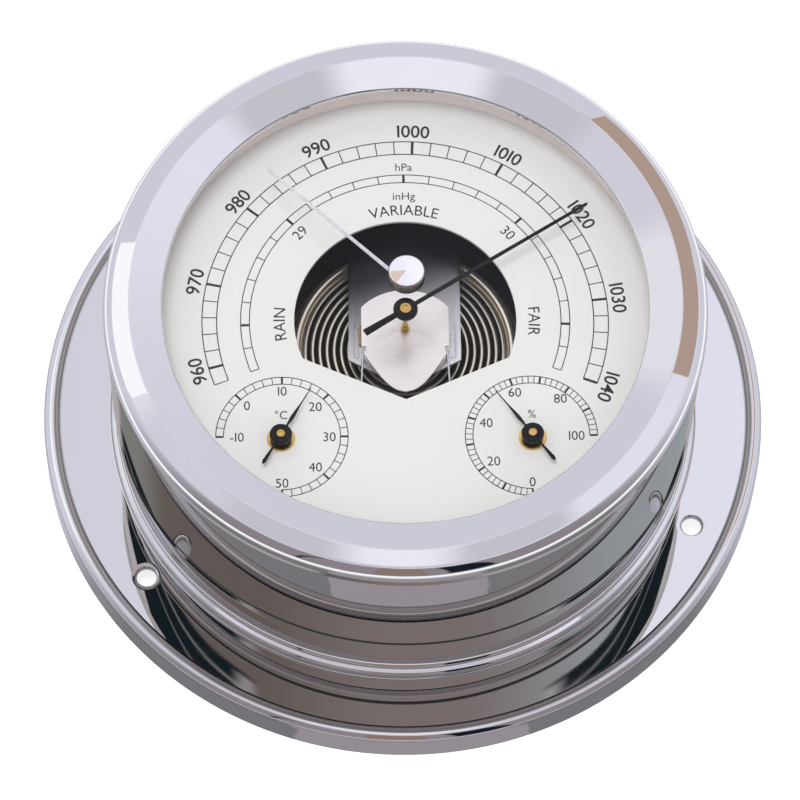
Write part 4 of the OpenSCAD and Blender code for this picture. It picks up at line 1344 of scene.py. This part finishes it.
class STATION_OT_set_hand(StationOperator):
    """Makes the set hand, its spindle and bush, and the knurled knob."""

    bl_idname = "station.set_hand"
    bl_label = "Set hand and knob"

    def make(self):
        state = readings()
        tip_z = low("set_hand").z
        root_z = high("set_hand").z - 0.3
        tip = 45.6
        slope = math.atan2(root_z - tip_z, tip)
        length = tip / math.cos(slope)
        blade = rounded([(-0.45, 0), (-0.27, length - 0.3, 0.1), (0, length, 0.2),
                         (0.27, length - 0.3, 0.1), (0.45, 0)])
        hand = plate([blade], 0, 0.3, 0.09)
        bmesh.ops.transform(hand, matrix=Matrix.Rotation(-slope, 4, "X"), verts=hand.verts)
        shifted(hand, z=root_z)
        hub = spun(rounded([(1.0, root_z - 0.2), (1.5, root_z - 0.2, 0.08), (1.5, root_z + 0.3, 0.1),
                            (1.0, root_z + 0.3)]), 64)
        piece("set_pointer", rotated(joined(hand, hub), math.degrees(state.set_angle)),
              "set_hand_silver", ["set_hand"], "set_hand_unit", sharp=40)
        under, top = low("set_spindle").z, high("set_spindle").z
        spindle = rounded([(0, under), (1.5, under, 0.08), (1.5, under + 0.3, 0.08), (1.0, under + 0.3),
                           (1.0, top, 0.15), (0, top)], False)
        piece("set_shaft", lathed(spindle, 64), "bright_steel", ["set_spindle"], "set_hand_unit")
        bush_low, bush_top = low("spindle_bush").z, high("spindle_bush").z
        bush_foot = high("spindle_bush").x
        bush = rounded([(1.04, bush_low), (bush_foot, bush_low, 0.05), (bush_foot, bush_low + 0.3, 0.05),
                        (1.75, bush_low + 0.3), (1.75, bush_top, 0.04), (1.04, bush_top)])
        piece("set_bush", spun(bush, 64), "bright_steel", ["spindle_bush"])
        self.knob(state.knurls)

    def knob(self, knurls):
        rim_low, rim_top = KNOB_Z + 0.45, KNOB_TOP - 0.22
        line = rounded([
            (0, KNOB_Z), (KNOB_R - 0.35, KNOB_Z, 0.1), (KNOB_R - 0.35, rim_low), (KNOB_R, rim_low, 0.06),
            (KNOB_R, rim_low + 0.35), (KNOB_R, rim_top - 0.45, 0.1), (KNOB_R - 0.3, rim_top, 0.2),
            (0.2, KNOB_TOP, 0.1), (0, KNOB_TOP)], False, 12)
        bm = lathed(propped(line, False), knurls * 6)
        for v in bm.verts:
            r = math.hypot(v.co.x, v.co.y) / MM
            if r > KNOB_R - 0.04 and rim_low < v.co.z / MM < rim_top - 0.5:
                swell = 0.5 - 0.5 * math.cos(knurls * math.atan2(v.co.y, v.co.x))
                scale = 1 - 0.2 * swell / r
                v.co.x *= scale
                v.co.y *= scale
        piece("knob", bm, "knob_chrome", ["set_knob"], "set_hand_unit", sharp=50)


class STATION_OT_movement(StationOperator):
    """Gives the CAD nodes that keep their own solids their finishes."""

    bl_idname = "station.movement"
    bl_label = "Movement finishes"

    def make(self):
        for node, name in KEPT.items():
            solid = frame["nodes"][node]
            if not solid.material_slots:
                solid.data.materials.append(None)
            for place in solid.material_slots:
                place.material = finish(name)


class STATION_OT_studio(StationOperator):
    """Makes the pale floor, the soft light and the camera."""

    bl_idname = "station.studio"
    bl_label = "Studio"

    def make(self):
        settings = bpy.context.scene.station_studio
        self.floor()
        self.card("brown_card", (0.157, 0.175), (0.078, 0.25), (0.57, 0.42, 0.35))
        self.card("white_card", (-0.165, 0.1), (0.095, 0.13), (1.3, 1.3, 1.34))
        self.world(settings.fill)
        self.lamps(settings.key_power)
        self.camera(settings)

    def sheet(self, name, middle, spread):
        """A level sheet of the stage with an empty material."""
        bm = bmesh.new()
        bmesh.ops.create_grid(bm, x_segments=1, y_segments=1, size=0.5)
        matrix = Matrix.Translation(middle) @ Matrix.Diagonal((*spread, 1, 1))
        bmesh.ops.transform(bm, matrix=matrix, verts=bm.verts)
        mesh = bpy.data.meshes.new(name)
        bm.to_mesh(mesh)
        bm.free()
        material = bpy.data.materials.new(name)
        material.use_nodes = True
        mesh.materials.append(material)
        obj = bpy.data.objects.new(name, mesh)
        bpy.context.scene.collection.objects.link(obj)
        nodes = Nodes(material.node_tree)
        nodes.tree.nodes.clear()
        return obj, nodes

    def floor(self):
        """A pale floor, white to the camera and shaded to the metal that mirrors it."""
        _, nodes = self.sheet("floor", (0, 0, -0.05 * MM), (8, 8))
        plain = nodes.node("ShaderNodeBsdfDiffuse", None, {"Color": (0.8, 0.8, 0.8)})
        shown = nodes.node("ShaderNodeEmission", None, {"Color": (1, 1, 1), "Strength": 0.75})
        seen = nodes.node("ShaderNodeAddShader", None, {0: plain, 1: shown})
        place = nodes.node("ShaderNodeTexCoord", None, None, "Object")
        x, y, _ = nodes.parts(place)
        far = (x * x + y * y) ** 0.5
        # painted shadow and light on the floor that only metal sees: grey round the part, darker at the
        # sides, glowing past white further out, darker again in a second reflection
        spread = nodes.heading(x, y).size() + (nodes.noise(place, 45, 4) - 0.5) * 14
        grey = nodes.mixed((0.39, 0.35, 0.39), (0.23, 0.23, 0.245), spread.step(18, 19))
        grey = nodes.mixed(grey, (0.62, 0.62, 0.72), spread.step(50, 80))
        grey = nodes.mixed(grey, (1.3, 1.3, 1.34), far.step(0.13, 0.3))
        grey = nodes.mixed(grey, (0.22, 0.19, 0.175), nodes.ray("Glossy Depth") > 1.5)
        mirrored = nodes.node("ShaderNodeEmission", None, {"Color": grey, "Strength": 1.0})
        first = nodes.either(nodes.ray("Is Camera Ray"), plain, seen)
        nodes.surface(nodes.either(nodes.ray("Is Glossy Ray"), first, mirrored))

    def card(self, name, middle, spread, colour):
        """A level card over one side of the part that only polished metal shows."""
        obj, nodes = self.sheet(name, (*middle, 0.249), spread)
        glow = nodes.node("ShaderNodeEmission", None, {"Color": colour, "Strength": 1.0})
        clear = nodes.node("ShaderNodeBsdfTransparent")
        nodes.surface(nodes.either(nodes.ray("Glossy Depth") > 1.5, glow, clear))
        obj.visible_camera = False
        obj.visible_diffuse = False
        obj.visible_transmission = False
        obj.visible_shadow = False

    def world(self, fill):
        """White to the camera, a soft fill to matt faces, and a mirrored room to metal."""
        world = bpy.data.worlds.new("studio")
        world.use_nodes = True
        bpy.context.scene.world = world
        nodes = Nodes(world.node_tree)
        background = world.node_tree.nodes["Background"]
        x, y, z = nodes.parts(nodes.node("ShaderNodeTexCoord", None, None, "Generated"))
        side = nodes.heading(x, y)
        level = (x * x + y * y) ** 0.5
        grey = nodes.mixed((0.34, 0.30, 0.33), (0.72, 0.72, 0.83), side.size().step(55, 100))
        once = self.room(nodes, grey, x, y, z, side, level)
        twice = self.room_mirrored_twice(nodes, grey, y, side, level)
        colour = nodes.mixed(once, twice, nodes.ray("Glossy Depth") > 1.5)
        plain = nodes.mixed((fill, fill, fill * 1.02), colour, nodes.ray("Is Glossy Ray"))
        clear = nodes.ray("Is Camera Ray").most(nodes.ray("Is Transmission Ray"))
        nodes.feed(background.inputs["Color"], nodes.mixed(plain, (1, 1, 1), clear))

    def room(self, nodes, grey, x, y, z, side, level):
        """The room as metal mirrors it at first: bright above and behind, banded in front."""
        lean = z.math("ARCCOSINE", z) * DEGREES
        front = lean.within(28, 82, 1.0)
        back = y.step(0.0, 0.12)
        right = side.within(-150, -112, 4) * lean.within(31, 45, 2)
        bright = nodes.mixed((0.84, 0.83, 0.94), (1.02, 1.01, 1.15), x.step(-0.09, 0.09))
        bright = nodes.mixed(bright, (0.82, 0.82, 0.93), lean.step(27, 56))
        bright = nodes.mixed(bright, (1.02, 1.01, 1.1), right)
        bright = nodes.mixed(bright, (0.74, 0.73, 0.8), 1 - lean.step(17, 21))
        bright = nodes.mixed(bright, (1.12, 1.11, 1.22), 1 - lean.step(6, 10))
        lit = (1 - level.step(0.395, 0.405)).most(back).most(side.size().step(85, 100))
        once = nodes.mixed(grey, bright, lit)
        once = nodes.mixed(once, (0.33, 0.23, 0.17), side.within(-9, 6, 0.7) * front * 0.8)
        once = nodes.mixed(once, (0.012, 0.016, 0.028), side.within(12, 25, 0.8) * front)
        return nodes.mixed(once, (0.06, 0.05, 0.06), side.within(-31, -29.4, 0.4) * front)

    def room_mirrored_twice(self, nodes, grey, y, side, level):
        """The room as flange and skirt show it in each other, with a black swirl at the sides.

        past is the distance beyond the line where a mirrored view passes over the bezel.
        """
        wide = side.size()
        behind = y / level
        past = level - (((behind * 0.013 + 0.01255) * behind + 0.01812) * behind + 0.3985)
        close = 1 - past.step(0.06, 0.1)
        back = y.step(0.0, 0.12)
        far_back = y.step(0.37, 0.4)
        shade = nodes.mixed((0.21, 0.17, 0.155), (0.33, 0.27, 0.26), side.step(-70, 0))
        shade = nodes.mixed(shade, (0.46, 0.49, 0.52), side.step(20, 100))
        shade = nodes.mixed(shade, (0.30, 0.30, 0.285), 1 - side.step(-135, -110))
        twice = nodes.mixed(grey, shade, close)
        sides = wide.step(60, 74)
        lit = ((1 - past.step(-0.0004, 0.0004)) * sides).most(far_back).most((1 - close) * back)
        twice = nodes.mixed(twice, (0.62, 0.57, 0.58), lit)
        edge = past.within(0, 0.0008, 0.0002) * sides
        edge = edge.most(past.within(-0.017, 0.0008, 0.0003) * wide.step(66, 78))
        streaks = past.within(-0.0026, -0.0020, 0.0002).most(past.within(-0.0066, -0.0062, 0.0002))
        edge = edge * (1 - streaks * 0.45) * (1 - far_back)
        return nodes.mixed(twice, (0.012, 0.02, 0.026), edge)

    def lamps(self, power):
        lamp = bpy.data.lights.new("key", "AREA")
        lamp.shape = "RECTANGLE"
        lamp.size = 0.5
        lamp.size_y = 0.5
        lamp.energy = power
        obj = bpy.data.objects.new("key", lamp)
        obj.location = (-0.1, -0.05, 1.15)
        obj.rotation_euler = (-Vector(obj.location)).to_track_quat("-Z", "Y").to_euler()
        obj.visible_glossy = False
        bpy.context.scene.collection.objects.link(obj)

    def camera(self, settings):
        place, target = Vector(settings.camera_place), Vector(settings.camera_target)
        back = (place - target).normalized()
        right = (-back).cross(Vector((0, 0, 1))).normalized()
        up = back.cross(right)
        roll = settings.camera_roll
        across = math.cos(roll) * right + math.sin(roll) * up
        above = -math.sin(roll) * right + math.cos(roll) * up
        camera = bpy.data.cameras.new("camera")
        camera.sensor_width = 36
        camera.lens = settings.lens
        camera.clip_start = 0.05
        camera.clip_end = 50
        obj = bpy.data.objects.new("camera", camera)
        obj.matrix_world = Matrix((
            (across.x, above.x, back.x, place.x), (across.y, above.y, back.y, place.y),
            (across.z, above.z, back.z, place.z), (0, 0, 0, 1)))
        bpy.context.scene.collection.objects.link(obj)
        bpy.context.scene.camera = obj
        bpy.context.scene.view_settings.view_transform = "Standard"


class STATION_PT_panel(bpy.types.Panel):
    """Lists the steps and the sizes of the weather station."""

    bl_label = "Weather station"
    bl_idname = "STATION_PT_panel"
    bl_space_type = "VIEW_3D"
    bl_region_type = "UI"
    bl_category = "Weather station"

    def draw(self, context):
        for step in STEPS:
            self.layout.operator(step.bl_idname)
        for name in GROUPS:
            group = getattr(context.scene, name)
            self.layout.label(text=type(group).__doc__)
            for prop in type(group).__annotations__:
                self.layout.prop(group, prop)


STEPS = (
    STATION_OT_flange, STATION_OT_bezel, STATION_OT_glass, STATION_OT_back, STATION_OT_capsule,
    STATION_OT_bridge, STATION_OT_dial, STATION_OT_scales, STATION_OT_barometer_hand,
    STATION_OT_small_hands, STATION_OT_set_hand, STATION_OT_movement, STATION_OT_studio,
)
GROUPS = {
    "station_case": CaseSizes,
    "station_dial": DialSizes,
    "station_readings": HandReadings,
    "station_colours": FinishColours,
    "station_studio": StudioSettings,
}


def register():
    for group in GROUPS.values():
        bpy.utils.register_class(group)
    for name, group in GROUPS.items():
        setattr(bpy.types.Scene, name, PointerProperty(type=group))
    for step in STEPS:
        bpy.utils.register_class(step)
    bpy.utils.register_class(STATION_PT_panel)


def unregister():
    bpy.utils.unregister_class(STATION_PT_panel)
    for step in reversed(STEPS):
        bpy.utils.unregister_class(step)
    for name in GROUPS:
        delattr(bpy.types.Scene, name)
    for group in reversed(GROUPS.values()):
        bpy.utils.unregister_class(group)


def main():
    register()
    for step in STEPS:
        group, name = step.bl_idname.split(".")
        getattr(getattr(bpy.ops, group), name)()


if __name__ == "__main__":
    main()
